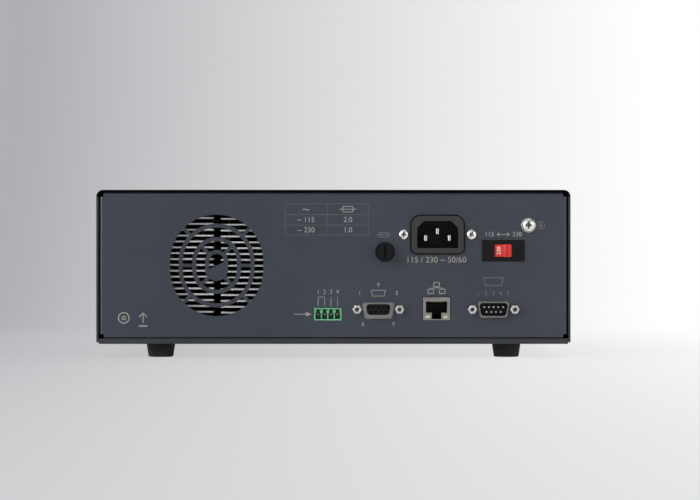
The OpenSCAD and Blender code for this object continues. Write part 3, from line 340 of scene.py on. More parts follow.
class Finish:
    """A procedural material on object coordinates: its nodes, and the shader at their end."""

    def __init__(self, name, **sockets):
        self.material = bpy.data.materials.new(name)
        self.material.use_nodes = True
        self.tree = self.material.node_tree
        self.shader = set_inputs(self.tree.nodes["Principled BSDF"], sockets)
        self.place = self.node("TexCoord").outputs["Object"]

    def node(self, kind, **values):
        """A new node with some of its inputs set."""
        return set_inputs(self.tree.nodes.new("ShaderNode" + kind), values)

    def link(self, source, target):
        self.tree.links.new(source, target)

    def after(self, source, kind, entry, output, **values):
        """The output of a new node that a source leads into."""
        node = self.node(kind, **values)
        self.link(source, node.inputs[entry])
        return node.outputs[output]

    def noise(self, scale, detail=3.0, stretch=(1, 1, 1)):
        """Soft noise with about that many spots to a metre, scaled along each axis."""
        place = self.after(self.place, "Mapping", "Vector", "Vector", scale=stretch)
        return self.after(place, "TexNoise", "Vector", "Fac", scale=scale, detail=detail)

    def bands(self, scale, direction, distortion=0.0):
        """Straight bands across an axis."""
        node = self.node("TexWave", scale=scale, distortion=distortion)
        node.bands_direction = direction
        self.link(self.place, node.inputs["Vector"])
        return node.outputs["Fac"]

    def along(self, axis, low, high):
        """How far a point lies from one place on an axis to another, from 0 to 1."""
        place = self.after(self.place, "SeparateXYZ", "Vector", axis)
        return self.after(place, "MapRange", "Value", "Result", from_min=low, from_max=high)

    def colours(self, source, first, last, low=0.3, high=0.7):
        """Blends two colours by a texture and leads them to the shader."""
        ramp = self.node("ValToRGB")
        for stop, place, colour in zip(ramp.color_ramp.elements, (low, high), (first, last)):
            stop.position = place
            stop.color = (*colour, 1)
        self.link(source, ramp.inputs["Fac"])
        self.link(ramp.outputs["Color"], self.shader.inputs["Base Color"])
        return self

    def shine(self, source, low, high):
        """Roughness between two values by a texture."""
        value = self.after(source, "MapRange", "Value", "Result", to_min=low, to_max=high)
        self.link(value, self.shader.inputs["Roughness"])
        return self

    def relief(self, source, depth, strength=1.0):
        """Bumps of about that depth in metres."""
        normal = self.after(source, "Bump", "Height", "Normal", strength=strength, distance=depth)
        self.link(normal, self.shader.inputs["Normal"])
        return self


def shade(colour, factor):
    """A colour made darker or lighter."""
    return tuple(min(1.0, v * factor) for v in colour)


def paint(name, colour, grain, depth, low=0.42, high=0.6, gloss=0.3):
    """Baked paint: a fine grain of that many spots to a metre, and faint clouds in its colour."""
    made = Finish(name, specular_ior_level=gloss)
    spots = made.noise(grain, 2.0)
    made.colours(made.noise(18.0, 4.0), shade(colour, 0.9), shade(colour, 1.1))
    return made.shine(spots, low, high).relief(spots, depth, 0.6).material


def moulding(name, colour, low=0.3, high=0.48, grain=3200.0, gloss=0.35):
    """Moulded plastic with a fine grain."""
    made = Finish(name, specular_ior_level=gloss)
    spots = made.noise(grain, 2.0)
    made.colours(made.noise(60.0), shade(colour, 0.86), shade(colour, 1.14))
    return made.shine(made.noise(240.0), low, high).relief(spots, 0.00003, 0.5).material


def deep_moulding(name, colour, recess_shade_colour, face_y, depth):
    """Moulded plastic with painted shade: darker behind its face, deeper into the recess."""
    made = Finish(name, specular_ior_level=0.2)
    made.colours(made.along("Y", face_y, face_y + depth), colour, recess_shade_colour, 0.1, 0.9)
    return made.shine(made.noise(240.0), 0.4, 0.55).relief(made.noise(3200.0, 2.0), 0.00003, 0.5).material


def plated(name, colour, low, high):
    """Plated metal with faint brush marks and stains."""
    made = Finish(name, metallic=1.0)
    marks = made.noise(900.0, 4.0)
    made.colours(made.noise(220.0, 4.0), shade(colour, 0.82), shade(colour, 1.08))
    return made.shine(marks, low, high).relief(marks, 0.00001, 0.4).material


def soft_rubber(name, colour):
    """Matt rubber with a dusty bloom."""
    made = Finish(name, specular_ior_level=0.3)
    made.colours(made.noise(150.0, 5.0), shade(colour, 0.8), shade(colour, 1.9), 0.45, 0.75)
    grain = made.noise(2600.0, 2.0)
    return made.shine(grain, 0.7, 0.92).relief(grain, 0.00005, 0.6).material


def clear(name, colour, low, high):
    """A clear tinted moulding."""
    made = Finish(name, transmission_weight=0.9, ior=1.49)
    made.colours(made.noise(90.0), shade(colour, 0.9), shade(colour, 1.05))
    return made.shine(made.noise(300.0), low, high).material


def dark_window(name, colour):
    """A clear dark window over the display."""
    made = Finish(name, transmission_weight=0.85, ior=1.49, coat_weight=0.4)
    made.colours(made.noise(40.0), shade(colour, 0.95), shade(colour, 1.05))
    return made.shine(made.noise(500.0), 0.03, 0.09).material


def circuit_board(name, colour):
    """Solder resist over a pattern of tracks."""
    made = Finish(name, coat_weight=0.3)
    tracks = made.node("TexBrick", scale=260.0, mortar_size=0.12, color1=(*colour, 1),
                       color2=(*shade(colour, 0.8), 1), mortar=(*shade(colour, 1.9), 1))
    made.link(made.place, tracks.inputs["Vector"])
    made.link(tracks.outputs["Color"], made.shader.inputs["Base Color"])
    return made.shine(made.noise(400.0), 0.28, 0.42).relief(tracks.outputs["Fac"], 0.00004, 0.4).material


def banded(name, colour, scale, direction, metallic=0.0, low=0.35, high=0.55):
    """Layers seen on edge: steel laminations, or turns of tape."""
    made = Finish(name, metallic=metallic)
    layers = made.bands(scale, direction, 0.4)
    made.colours(layers, shade(colour, 0.7), shade(colour, 1.2), 0.2, 0.8)
    return made.shine(made.noise(300.0), low, high).relief(layers, 0.00006, 0.5).material


def extruded(name, colour):
    """Pickled aluminium with die lines along Y."""
    made = Finish(name, metallic=0.4)
    lines = made.noise(1500.0, 3.0, (1, 0.02, 1))
    made.colours(made.noise(70.0, 4.0), shade(colour, 0.88), shade(colour, 1.08))
    return made.shine(lines, 0.26, 0.44).relief(lines, 0.00002, 0.4).material


def ink(name, colour):
    """Screen printing ink, a little worn."""
    made = Finish(name)
    made.colours(made.noise(700.0, 4.0), shade(colour, 0.72), colour, 0.25, 0.5)
    return made.shine(made.noise(900.0), 0.45, 0.7).material


def glowing(name, colour, strength):
    """The lit segments of the display."""
    made = Finish(name, emission_strength=strength)
    made.colours(made.noise(800.0), shade(colour, 0.85), colour)
    made.shader.inputs["Emission Color"].default_value = (*colour, 1)
    return made.shine(made.noise(500.0), 0.4, 0.6).material


FINISHES = {
    "case_paint": paint("Dark textured paint", (0.034, 0.036, 0.038), 1500.0, 0.00009),
    "panel_paint": paint("Slate paint", (0.036, 0.042, 0.056), 2400.0, 0.00002, 0.24, 0.34, 0.45),
    "bezel_plastic": moulding("Bezel moulding", (0.03, 0.031, 0.035), 0.4, 0.56, 2200.0),
    "fascia_paint": paint("Satin fascia paint", (0.55, 0.57, 0.6), 2600.0, 0.00002, 0.34, 0.46),
    "rubber": soft_rubber("Foot rubber", (0.016, 0.016, 0.017)),
    "screw_steel": plated("Nickel plate", (0.88, 0.87, 0.85), 0.26, 0.42),
    "black_plastic": moulding("Black moulding", (0.007, 0.007, 0.008), gloss=0.14),
    "fuse_glass": clear("Fuse glass", (0.8, 0.82, 0.78), 0.03, 0.1),
    "selector_red": moulding("Selector red", (0.62, 0.035, 0.03), 0.25, 0.4),
    "header_green": moulding("Header green", (0.15, 0.42, 0.24), 0.35, 0.5),
    "connector_metal": plated("Tin plate", (0.38, 0.37, 0.36), 0.26, 0.44),
    "contact_gold": plated("Gold flash", (0.78, 0.56, 0.24), 0.18, 0.32),
    "sink_aluminium": extruded("Bare extrusion", (0.93, 0.92, 0.90)),
    "board_green": circuit_board("Solder resist", (0.015, 0.12, 0.05)),
    "capacitor_sleeve": banded("Capacitor sleeve", (0.02, 0.03, 0.09), 9.0, "X", 0.0, 0.2, 0.35),
    "core_steel": banded("Lacquered laminations", (0.12, 0.125, 0.13), 320.0, "Y", 0.7),
    "winding_tape": banded("Winding tape", (0.55, 0.32, 0.06), 60.0, "Z", 0.0, 0.25, 0.4),
    "hv_lead_red": soft_rubber("Silicone lead", (0.35, 0.02, 0.015)),
    "window_glass": dark_window("Display window", (0.42, 0.46, 0.5)),
    "display_dark": moulding("Display face", (0.006, 0.012, 0.03), 0.2, 0.3),
    "key_grey": soft_rubber("Key rubber", (0.11, 0.118, 0.13)),
    "power_white": moulding("Power key white", (0.72, 0.72, 0.7)),
    "start_green": moulding("Start key green", (0.02, 0.3, 0.06), 0.2, 0.34),
    "stop_red": moulding("Stop red", (0.5, 0.02, 0.015), 0.2, 0.34),
    "lamp_red": clear("Lamp lens", (0.7, 0.03, 0.02), 0.08, 0.18),
}
LIGHT_INK = ink("Light grey ink", (0.30, 0.285, 0.265))
DIM_INK = ink("Dim grey ink", (0.15, 0.145, 0.135))
FAINT_INK = ink("Faint grey ink", (0.075, 0.083, 0.095))
# Painted shade: black on the roof's rear edge, standing in for the dark line along it
ROOF_EDGE_SHADE = paint("Black edge paint", (0.002, 0.002, 0.002), 1500.0, 0.00003, 0.5, 0.6, 0.0)
BLACK_ZINC = plated("Black zinc", (0.05, 0.05, 0.052), 0.3, 0.45)
PALE_TIN = plated("Pale tin", (0.72, 0.71, 0.68), 0.2, 0.36)
WORN_NICKEL = plated("Worn nickel", (0.80, 0.785, 0.76), 0.14, 0.3)
# Painted shade: the thread steel is darkened so that the jackscrews' bores look shaded
SHADED_THREAD_STEEL = plated("Thread steel", (0.2, 0.195, 0.185), 0.3, 0.45)
# Painted shade: a dark plug laid in each screw's cross recess, darker than the steel round it
RECESS_SHADE = ink("Recess grime", (0.045, 0.044, 0.036))
# Painted shade: the inlet's moulding darkens from its face into the recess
INLET_BLACK = deep_moulding("Inlet moulding", (0.038, 0.037, 0.038), (0.004, 0.004, 0.004),
                            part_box("inlet_body")[0].y, 2.5 * MM)
DARK_INK = ink("Dark ink", (0.02, 0.022, 0.026))
RED_INK = ink("Red ink", (0.5, 0.025, 0.02))
LIT = glowing("Lit segments", (0.55, 0.85, 1.0), 1.6)
LIGHT_WINDOW = moulding("Milky light window", (0.5, 0.56, 0.34), 0.2, 0.32)

# Nodes whose finish isn't that of their slot
DRESSED_AS = {
    "serial_pins": ("connector_metal", PALE_TIN),
    "inlet_pins": ("connector_metal", PALE_TIN),
    "inlet_body": ("black_plastic", INLET_BLACK),
    "cover_screws": ("screw_steel", BLACK_ZINC),
    "jackscrews": ("screw_steel", WORN_NICKEL),
}


def finish_of(node):
    """The finish of a node's slot."""
    return FINISHES[SLOT_OF[node]]


def dress_of(node):
    """The slot and finish of the piece that stands for a node."""
    return DRESSED_AS.get(node, (SLOT_OF[node], finish_of(node)))


def finish_nodes():
    """Every node takes the finish of its slot, also where a piece stands for it."""
    for name, obj in nodes.items():
        obj.data.materials.clear()
        obj.data.materials.append(finish_of(name))


# Prints, with the widths of their strokes in millimetres

THIN, FINE, PLAIN, BOLD, HEAVY = 0.35, 0.4, 0.45, 0.6, 0.9


class Print:
    """Marks on one flat face, drawn in millimetres: x to the reader's right, y up."""

    DEPTH = 0.05
    STEP = 0.0007
    LEVELS = 60
    CAPITAL = 0.69

    def __init__(self):
        self.bm = bmesh.new()
        self.strokes = 0

    def fill(self, points):
        """A filled outline, given counterclockwise. Each stands a hair above the one before, so that strokes
        that cross share no face."""
        self.strokes += 1
        rise = self.DEPTH + self.STEP * (self.strokes % self.LEVELS)
        prism(self.bm, [(x, y, -rise) for x, y in points], [(x, y, rise) for x, y in points])

    @staticmethod
    def corners(x, y, w, h):
        """A rectangle about its middle, counterclockwise."""
        left, right, low, high = x - w / 2, x + w / 2, y - h / 2, y + h / 2
        return [(left, low), (right, low), (right, high), (left, high)]

    def block(self, x, y, w, h):
        """A filled rectangle."""
        self.fill(self.corners(x, y, w, h))

    def line(self, x0, y0, x1, y1, width=PLAIN):
        """A straight stroke with square ends."""
        along = Vector((x1 - x0, y1 - y0)).normalized()
        side = Vector((-along.y, along.x)) * width / 2
        first, last = Vector((x0, y0)), Vector((x1, y1))
        self.fill([first - side, last - side, last + side, first + side])

    def lines(self, points, width=PLAIN):
        """A chain of strokes."""
        for (x0, y0), (x1, y1) in zip(points, points[1:]):
            self.line(x0, y0, x1, y1, width)

    def box(self, x, y, w, h, width=PLAIN):
        """The outline of a rectangle."""
        points = self.corners(x, y, w, h)
        self.lines([*points, points[0]], width)

    def arc(self, x, y, radius, width=PLAIN, first=0.0, sweep=360.0):
        """A stroke along a circle, from an angle in degrees."""
        steps = max(6, int(sweep / 10))
        turns = [math.radians(first + sweep * i / steps) for i in range(steps + 1)]
        for a, b in zip(turns, turns[1:]):
            inner, outer = radius - width / 2, radius + width / 2
            self.fill([(x + r * math.cos(t), y + r * math.sin(t))
                       for r, t in ((inner, a), (outer, a), (outer, b), (inner, b))])

    def words(self, text, x, y, height, turn=0.0):
        """Digits and signs, centred, with capitals of that height."""
        curve = bpy.data.curves.new("words", "FONT")
        curve.body = text
        curve.align_x = "CENTER"
        curve.align_y = "CENTER"
        curve.size = height / self.CAPITAL
        curve.extrude = self.DEPTH
        mesh = settled(loose("words", curve))
        mesh.transform(Matrix.Translation((x, y, 0)) @ Matrix.Rotation(math.radians(turn), 4, "Z"))
        join_mesh(self.bm, mesh)

    def done(self, name, face, turn, body, slot, material=None):
        """The piece, on a face at that y, turned to its reader, in its slot's finish if no other is given."""
        bmesh.ops.recalc_face_normals(self.bm, faces=self.bm.faces)
        place = Matrix.Translation((0, face, 0)) @ turn @ Matrix.Scale(MM, 4)
        return piece(name, mesh_from(self.bm, name, place), body, slot, material or FINISHES[slot])


def rear_place(node, across=0.0, up=0.0):
    """A point beside a node's middle in millimetres, as a reader at the rear sees it."""
    middle = centre(node) / MM
    return middle.x + across, middle.z + up


def front_place(node, across=0.0, up=0.0):
    """A point beside a node's middle in millimetres, as a reader at the front sees it."""
    middle = centre(node) / MM
    return across - middle.x, middle.z + up


def rating_table(marks):
    """Two columns of three cells: a sign over two plain numbers in each."""
    left, right, divide = -28.6, 20.8, -3.7
    rows = [90.8, 84.4, 78.2, 72.3]
    number_h, wave_h, fuse_size = 3.0, 5.0, (10.0, 3.2)
    frame_lines = Print()
    for z in rows:
        frame_lines.line(left, z, right, z, FINE)
    for x in (left, divide, right):
        frame_lines.line(x, rows[0], x, rows[-1], FINE)
    frame_lines.done("table_lines", *REAR, "fascia_paint", FAINT_INK)
    columns = [((left + divide) / 2, ("~ 115", "~ 230")), ((divide + right) / 2, ("2.0", "1.0"))]
    for x, values in columns:
        for row, text in enumerate(values):
            marks.words(text, x, (rows[row + 1] + rows[row + 2]) / 2, number_h)
    sign_z = (rows[0] + rows[1]) / 2
    marks.words("~", columns[0][0], sign_z, wave_h)
    fuse_sign(marks, columns[1][0], sign_z, *fuse_size)


def fuse_sign(marks, x, z, w, h):
    """A fuse: a box with a line through it."""
    marks.box(x, z, w * 0.6, h, FINE)
    marks.line(x - w / 2, z, x + w / 2, z, FINE)


def earth_sign(marks, x, z, size, width=PLAIN):
    """Protective earth: a stem on three bars, in a ring."""
    marks.arc(x, z, size / 2, width)
    marks.line(x, z, x, z + size * 0.34, width)
    for step, half in enumerate((0.3, 0.2, 0.1)):
        marks.line(x - size * half, z - size * 0.12 * step, x + size * half, z - size * 0.12 * step, width)


def network_sign(marks, x, z):
    """Three joined boxes."""
    w, h, apart, rise, stem = 3.2, 2.6, 3.4, 2.0, 0.7
    marks.box(x, z + rise, w, h)
    for side in (-apart, apart):
        marks.box(x + side, z - rise, w, h)
        marks.line(x + side, z - stem, x + side, z, THIN)
    marks.line(x - apart, z, x + apart, z, THIN)
    marks.line(x, z, x, z + stem, THIN)


def nine_way_sign(marks, x, z, w, h):
    """The outline of a nine-way connector."""
    slope = h * 0.25
    marks.lines([(x - w / 2, z + h / 2), (x + w / 2, z + h / 2), (x + w / 2 - slope, z - h / 2),
                 (x - w / 2 + slope, z - h / 2), (x - w / 2, z + h / 2)], THIN)


def voltage_scale(marks):
    """The two voltages over the selector, with an arrow between them that has two heads."""
    x, z = rear_place("selector_body", up=9.6)
    apart, number_h = 8.2, 2.6
    shaft, tip, barb_x, barb_z = 3.6, 3.7, 2.2, 1.1
    marks.words("115", x - apart, z, number_h)
    marks.words("230", x + apart, z, number_h)
    marks.line(x - shaft, z, x + shaft, z, THIN)
    for side in (-1, 1):
        barb = x + side * barb_x
        marks.lines([(barb, z + barb_z), (x + side * tip, z), (barb, z - barb_z)], THIN)


def header_prints(marks):
    """Lines from the signal header's poles to their numbers, and an arrow at its side."""
    x, z = rear_place("terminal_header", -20.0)
    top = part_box("terminal_header")[1].z / MM
    line_low, line_top, number_z = top + 1.0, top + 6.4, top + 9.4
    poles = sorted((low.x + high.x) / 2 / MM for low, high in solids("terminal_pins"))
    for number, pole in enumerate(poles, 1):
        marks.line(pole, line_low, pole, line_top, THIN)
        marks.words(str(number), pole, number_z, 2.6)
    marks.line(poles[0], line_top, poles[1], line_top, THIN)
    marks.line(x, z, x + 8.0, z)
    marks.fill([(x + 7.0, z - 1.4), (x + 10.4, z), (x + 7.0, z + 1.4)])


def nine_way_prints(marks, dim):
    """The outlines of the two nine-way connectors, with some of their contacts' numbers."""
    x, z = rear_place("handler_shell")
    nine_way_sign(marks, x, z + 9.6, 8.6, 3.4)
    for text, across, up in (("1", -11.0, 9.6), ("5", 11.0, 9.6), ("6", -9.0, -8.8), ("9", 9.0, -8.8),
                             ("9", 0, 14.4)):
        marks.words(text, x + across, z + up, 2.4)
    x = rear_place("serial_shell")[0]
    nine_way_sign(dim, x, z + 16.4, 11.5, 4.6)
    for i, text in enumerate("12345"):
        dim.words(text, x + (i - 2) * 4.4, z + 9.4, 2.3)


def corner_signs(marks):
    """A plain ring, and an arrow over a bar."""
    ring_x, ring_z, ring_w = -123.8, 23.4, 0.7
    for radius in (3.1, 1.0):
        marks.arc(ring_x, ring_z, radius, ring_w)
    x, low = -112.4, 18.6
    marks.line(x - 2.6, low, x + 2.6, low, HEAVY)
    marks.line(x, low + 2.0, x, low + 7.0, BOLD)
    marks.lines([(x - 2.3, low + 5.2), (x, low + 7.8), (x + 2.3, low + 5.2)], BOLD)


def rear_prints():
    """Plain numbers and signs beside the connectors."""
    marks = Print()
    dim = Print()
    rating_table(marks)
    fuse_sign(dim, *rear_place("fuse_holder", -0.8, 10.2), 9.0, 2.6)
    marks.words("115 / 230 ~ 50/60", *rear_place("inlet_body", -0.8, -15.0), 3.4)
    voltage_scale(marks)
    earth_sign(dim, *rear_place("ground_screw", 7.2), 4.6, FINE)
    header_prints(marks)
    nine_way_prints(marks, dim)
    network_sign(marks, rear_place("lan_shield")[0], 41.1)
    corner_signs(marks)
    marks.done("rear_prints", *REAR, "fascia_paint", LIGHT_INK)
    dim.done("rear_dim_prints", *REAR, "fascia_paint", DIM_INK)


def selector_print():
    """The number of the chosen voltage, on the slider's free half."""
    face = PANEL_Y + 0.3 * MM
    marks = Print()
    marks.words("230", *rear_place("selector_body", -2.6), 2.2, 90.0)
    marks.done("selector_number", face, TO_REAR, "selector", "power_white")


# Screws and feet

# A pan head's outline from its rim to its top, as parts of its radius and height
PAN_HEAD = ((1, 0), (1, 0.18), (0.94, 0.5), (0.78, 0.78), (0.5, 0.95), (0, 1))
# Two levels of a screw's cross recess, and of the dark plug of painted shade in it: reach, half width and
# height, as parts of the head's radius and height
RECESS = ((0.22, 0.1, -0.4), (0.56, 0.14, 1.2))
RECESS_FILL = ((0.23, 0.098, -0.3), (0.42, 0.12, 0.56))
# How far from the object's middle a screw's head sits, along its own axis
SEATS = {"inlet_screws": -PANEL_Y, "cover_screws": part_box("top_cover")[1].x}
THREAD_R = 1.5 * MM


def pan_head_screw(name, head_r, head_h, thread_r, length):
    """A pan head screw along +Z with a cross recess: the head stands on z = 0."""
    profile = [(0, -length), (thread_r * 0.7, -length), (thread_r, -length + thread_r * 0.5), (thread_r, 0)]
    profile += [(head_r * out, head_h * up) for out, up in PAN_HEAD]
    larger = Matrix.Scale(1 / MM, 4)
    screw = loose(name, mesh_from(lathe(profile, 32), name, larger))
    cutter = loose(name + "_recess", mesh_from(cross(head_r, head_h, RECESS), name + "_recess", larger))
    cut = screw.modifiers.new("Recess", "BOOLEAN")
    cut.object = cutter
    cut.operation = "DIFFERENCE"
    mesh = settled(screw)
    bpy.data.objects.remove(cutter)
    mesh.transform(Matrix.Scale(MM, 4))
    return smooth(mesh)


def cross(head_r, head_h, levels):
    """A cross that narrows downwards."""
    rings = []
    for reach, wide, height in levels:
        r, w = reach * head_r, wide * head_r
        ring = []
        for turn in range(4):
            c, s = math.cos(turn * math.pi / 2), math.sin(turn * math.pi / 2)
            ring += [(x * c - y * s, x * s + y * c, height * head_h) for x, y in ((r, -w), (r, w), (w, w))]
        rings.append(ring)
    bm = bmesh.new()
    prism(bm, *rings)
    return bm


def screws(node, axis_of, seed):
    """Detailed screws in place of a node's plain ones. axis_of gives the way a solid's head faces."""
    seats = []
    sizes = []
    for low, high in solids(node):
        axis = axis_of(low, high)
        along = max(range(3), key=lambda i: abs(axis[i]))
        across = (along + 1) % 3
        seat = (low + high) / 2
        seat[along] = SEATS[node] * axis[along]
        tip, end = (high, low) if axis[along] > 0 else (low, high)
        seats.append((seat, axis))
        head_r = (high[across] - low[across]) / 2
        sizes.append((head_r, abs(tip[along] - seat[along]), abs(end[along] - seat[along])))
    head_r, head_h, length = sizes[0]
    shape = pan_head_screw(node, head_r, head_h, THREAD_R, length)
    slot, material = dress_of(node)
    mesh = copies(shape, seats, material, math.pi / 2, seed)
    piece(node + "_detailed", mesh, BODY_OF[node], slot, material, node)
    # A dark plug in each recess paints the shade there
    fill = mesh_from(cross(head_r, head_h, RECESS_FILL), node + "_fill")
    piece(node + "_grime", copies(fill, seats, RECESS_SHADE, math.pi / 2, seed), BODY_OF[node], slot, RECESS_SHADE)


def ground_terminal():
    """The ground screw with its spring washer and nut."""
    parts = solids("ground_screw")
    low, high = min(parts, key=lambda box: box[0].y)
    nut_low, nut_high = max(parts, key=lambda box: box[0].y)
    middle = (low + high) / 2
    head_r = (high.x - low.x) / 2
    washer_t, hole_r, ease = 0.7 * MM, 2.1 * MM, 0.25 * MM
    thread_r, nut_r = 2.0 * MM, 4.0 * MM
    seat = Matrix.Translation((middle.x, PANEL_Y, middle.z)) @ TO_REAR
    on_washer = Matrix.Translation((0, 0, washer_t))
    screw_r, screw_h = head_r * 0.94, PANEL_Y - low.y - washer_t
    shape = pan_head_screw("ground_head", screw_r, screw_h, thread_r, high.y - PANEL_Y)
    shape.transform(on_washer)
    bm = lathe([(hole_r, 0), *round_edge(head_r, washer_t, ease), (hole_r, washer_t), (hole_r, 0)])
    join_mesh(bm, shape)
    nut = bmesh.ops.create_cone(bm, cap_ends=True, segments=6, radius1=nut_r, radius2=nut_r,
                                depth=nut_high.y - nut_low.y)["verts"]
    bmesh.ops.translate(bm, verts=nut, vec=(0, 0, PANEL_Y - (nut_low.y + nut_high.y) / 2))
    mesh = mesh_from(bm, "ground_terminal", seat)
    slot = SLOT_OF["ground_screw"]
    piece("ground_terminal", mesh, "case", slot, finish_of("ground_screw"), "ground_screw")
    # A dark plug in the recess paints the shade there
    fill = mesh_from(cross(screw_r, screw_h, RECESS_FILL), "ground_grime", seat @ on_washer)
    piece("ground_grime", fill, "case", slot, RECESS_SHADE)


def feet():
    """Tapered rubber feet with a rounded tread, a moulded rim and the screw's well."""
    boxes = solids("rubber_feet")
    low, high = boxes[0]
    top_r = (high.x - low.x) / 2
    tread_r = top_r - 1.2 * MM
    height = high.z - low.z
    well_r, well_h, hole_r = 4.0 * MM, 4.0 * MM, 2.1 * MM
    rim, ease, lip, step = 1.6 * MM, 1.0 * MM, 0.4 * MM, 0.5 * MM
    slope = (top_r - tread_r) / height
    profile = [(hole_r, height), (hole_r, well_h), (well_r, well_h), (well_r, lip), (well_r + lip, 0)]
    profile += [(radius, ease - rise) for radius, rise in reversed(round_edge(tread_r, ease, ease))]
    profile += [(tread_r + slope * (height - rim), height - rim - step), (top_r - step, height - rim)]
    profile += [(top_r, height - rim + lip), (top_r, height), (hole_r, height)]
    shape = mesh_from(lathe(profile), "foot")
    places = [(((a.x + b.x) / 2, (a.y + b.y) / 2, a.z), (0, 0, 1)) for a, b in boxes]
    mesh = copies(shape, places, finish_of("rubber_feet"))
    piece("feet_moulded", mesh, "case", "rubber", finish_of("rubber_feet"), "rubber_feet")


def roof_edge():
    """Painted shade: a black strip over the roof's rear edge and round its two bends."""
    low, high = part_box("top_cover")
    bend, thick, steps = 4.0, 1.2, 10
    half, top = high.x / MM - bend, high.z / MM - bend
    rim = [(half + bend * math.cos(a), top + bend * math.sin(a), math.cos(a), math.sin(a))
           for a in (math.pi / 2 * i / steps for i in range(steps + 1))]
    rim += [(-x, z, -across, up) for x, z, across, up in reversed(rim)]
    marks = Print()
    for (x0, z0, a0, u0), (x1, z1, a1, u1) in zip(rim, rim[1:]):
        marks.fill([(x0, z0), (x1, z1), (x1 - thick * a1, z1 - thick * u1),
                    (x0 - thick * a0, z0 - thick * u0)])
    marks.done("roof_edge_paint", low.y, TO_REAR, "case", "case_paint", ROOF_EDGE_SHADE)


# Rear connectors

def jack_lights():
    """Two small light windows in the lower corners of the network jack's face."""
    low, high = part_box("lan_shield")
    size, ease = (2.7 * MM, 1.7 * MM, 0.5 * MM), 0.2 * MM
    inset, rise = 2.7 * MM, 2.0 * MM
    bm = bmesh.new()
    bmesh.ops.create_cube(bm, size=1.0)
    bmesh.ops.scale(bm, verts=bm.verts, vec=size)
    bmesh.ops.bevel(bm, geom=bm.edges[:], offset=ease, segments=2, affect="EDGES", profile=0.5)
    shape = mesh_from(bm, "light_window")
    places = [((x, low.y, low.z + rise), (0, -1, 0)) for x in (low.x + inset, high.x - inset)]
    mesh = copies(shape, places, LIGHT_WINDOW)
    piece("jack_light_windows", mesh, "case", "header_green", LIGHT_WINDOW)


def jackscrew_threads():
    """The thread inside each jackscrew, in steel darkened as painted shade for the bore."""
    boxes = solids("jackscrews")
    depth, pitch, outer, crest, thick = 3.9 * MM, 0.5 * MM, 1.19 * MM, 0.98 * MM, 0.05 * MM
    mouth, first = 0.2 * MM, 0.3 * MM
    profile = [(0, -depth), (outer, -depth), (outer, -mouth)]
    for turn in range(int(depth / pitch) - 1):
        top = -first - turn * pitch
        profile += [(outer - thick, top), (crest, top - pitch / 2)]
    profile += [(outer - thick, thick - depth), (0, thick - depth)]
    shape = mesh_from(lathe(profile, 24), "thread")
    places = [(((low.x + high.x) / 2, low.y, (low.z + high.z) / 2), (0, -1, 0)) for low, high in boxes]
    piece("jackscrew_threads", copies(shape, places, SHADED_THREAD_STEEL), "case", "screw_steel", SHADED_THREAD_STEEL)


# Front pieces

def knob():
    """A ribbed knob with a domed face and a light pointer."""
    low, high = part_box("knob")
    middle = centre("knob")
    radius = (high.x - low.x) / 2
    foot = FASCIA_Y + 0.6 * MM
    length = high.y - foot
    hollow_r, hollow_l = 6.0 * MM, 6.0 * MM
    shaft_r, rib_r = 3.0 * MM, 0.8 * MM
    body_r = radius - rib_r * 0.7
    skirt_h, grip_z, dish = 1.6 * MM, 2.4 * MM, 0.5 * MM
    profile = [(0, low.y - foot), (shaft_r, low.y - foot), (shaft_r, hollow_l), (hollow_r, hollow_l)]
    profile += [(hollow_r, 0), (radius, 0), (radius, skirt_h), (body_r, grip_z)]
    profile += round_edge(body_r, length - 0.4 * MM, 1.4 * MM)
    profile += [(body_r * 0.8, length - 0.1 * MM), (body_r * 0.7, length - dish), (0, length - dish)]
    bm = lathe(profile, 72)
    grip = length - 5.0 * MM
    ribs = grown(RIBS, bpy.data.meshes.new("ribs"), {
        "Count": 40, "Radius": body_r - rib_r * 0.3, "Rib Radius": rib_r, "Length": grip,
        "Finish": finish_of("knob"),
    })
    ribs.transform(Matrix.Translation((0, 0, grip_z + grip / 2)))
    join_mesh(bm, ribs)
    mesh = mesh_from(bm, "knob_ribbed", Matrix.Translation((middle.x, foot, middle.z)) @ TO_FRONT)
    piece("knob_ribbed", mesh, "knob_body", "bezel_plastic", finish_of("knob"), "knob")
    marks = Print()
    x, z, inner, outer = -middle.x / MM, middle.z / MM, 3.4, 7.8
    marks.line(x, z + inner, x, z + outer, 1.0)
    marks.done("knob_pointer", high.y - dish, TO_FRONT, "knob_body", "power_white")


def knob_scale():
    """Marks round the knob on the front plate."""
    middle = centre("knob")
    radius = (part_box("knob")[1].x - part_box("knob")[0].x) / 2 + 3.0 * MM
    mesh = grown(TICKS, bpy.data.meshes.new("marks"), {
        "Count": 25, "Radius": radius, "Length": 2.4 * MM, "Width": 0.5 * MM, "Thickness": 0.1 * MM,
        "First Angle": math.radians(-60), "Sweep": math.radians(300), "Finish": DARK_INK,
    })
    mesh.transform(Matrix.Translation((middle.x, FASCIA_Y, middle.z)) @ TO_FRONT)
    piece("knob_scale", mesh, "case", "bezel_plastic", DARK_INK)


SEGMENTS = {
    "0": "abcdef", "1": "bc", "2": "abged", "3": "abgcd", "4": "fgbc", "5": "afgcd",
    "6": "afgedc", "7": "abc", "8": "abcdefg", "9": "abcdfg",
}


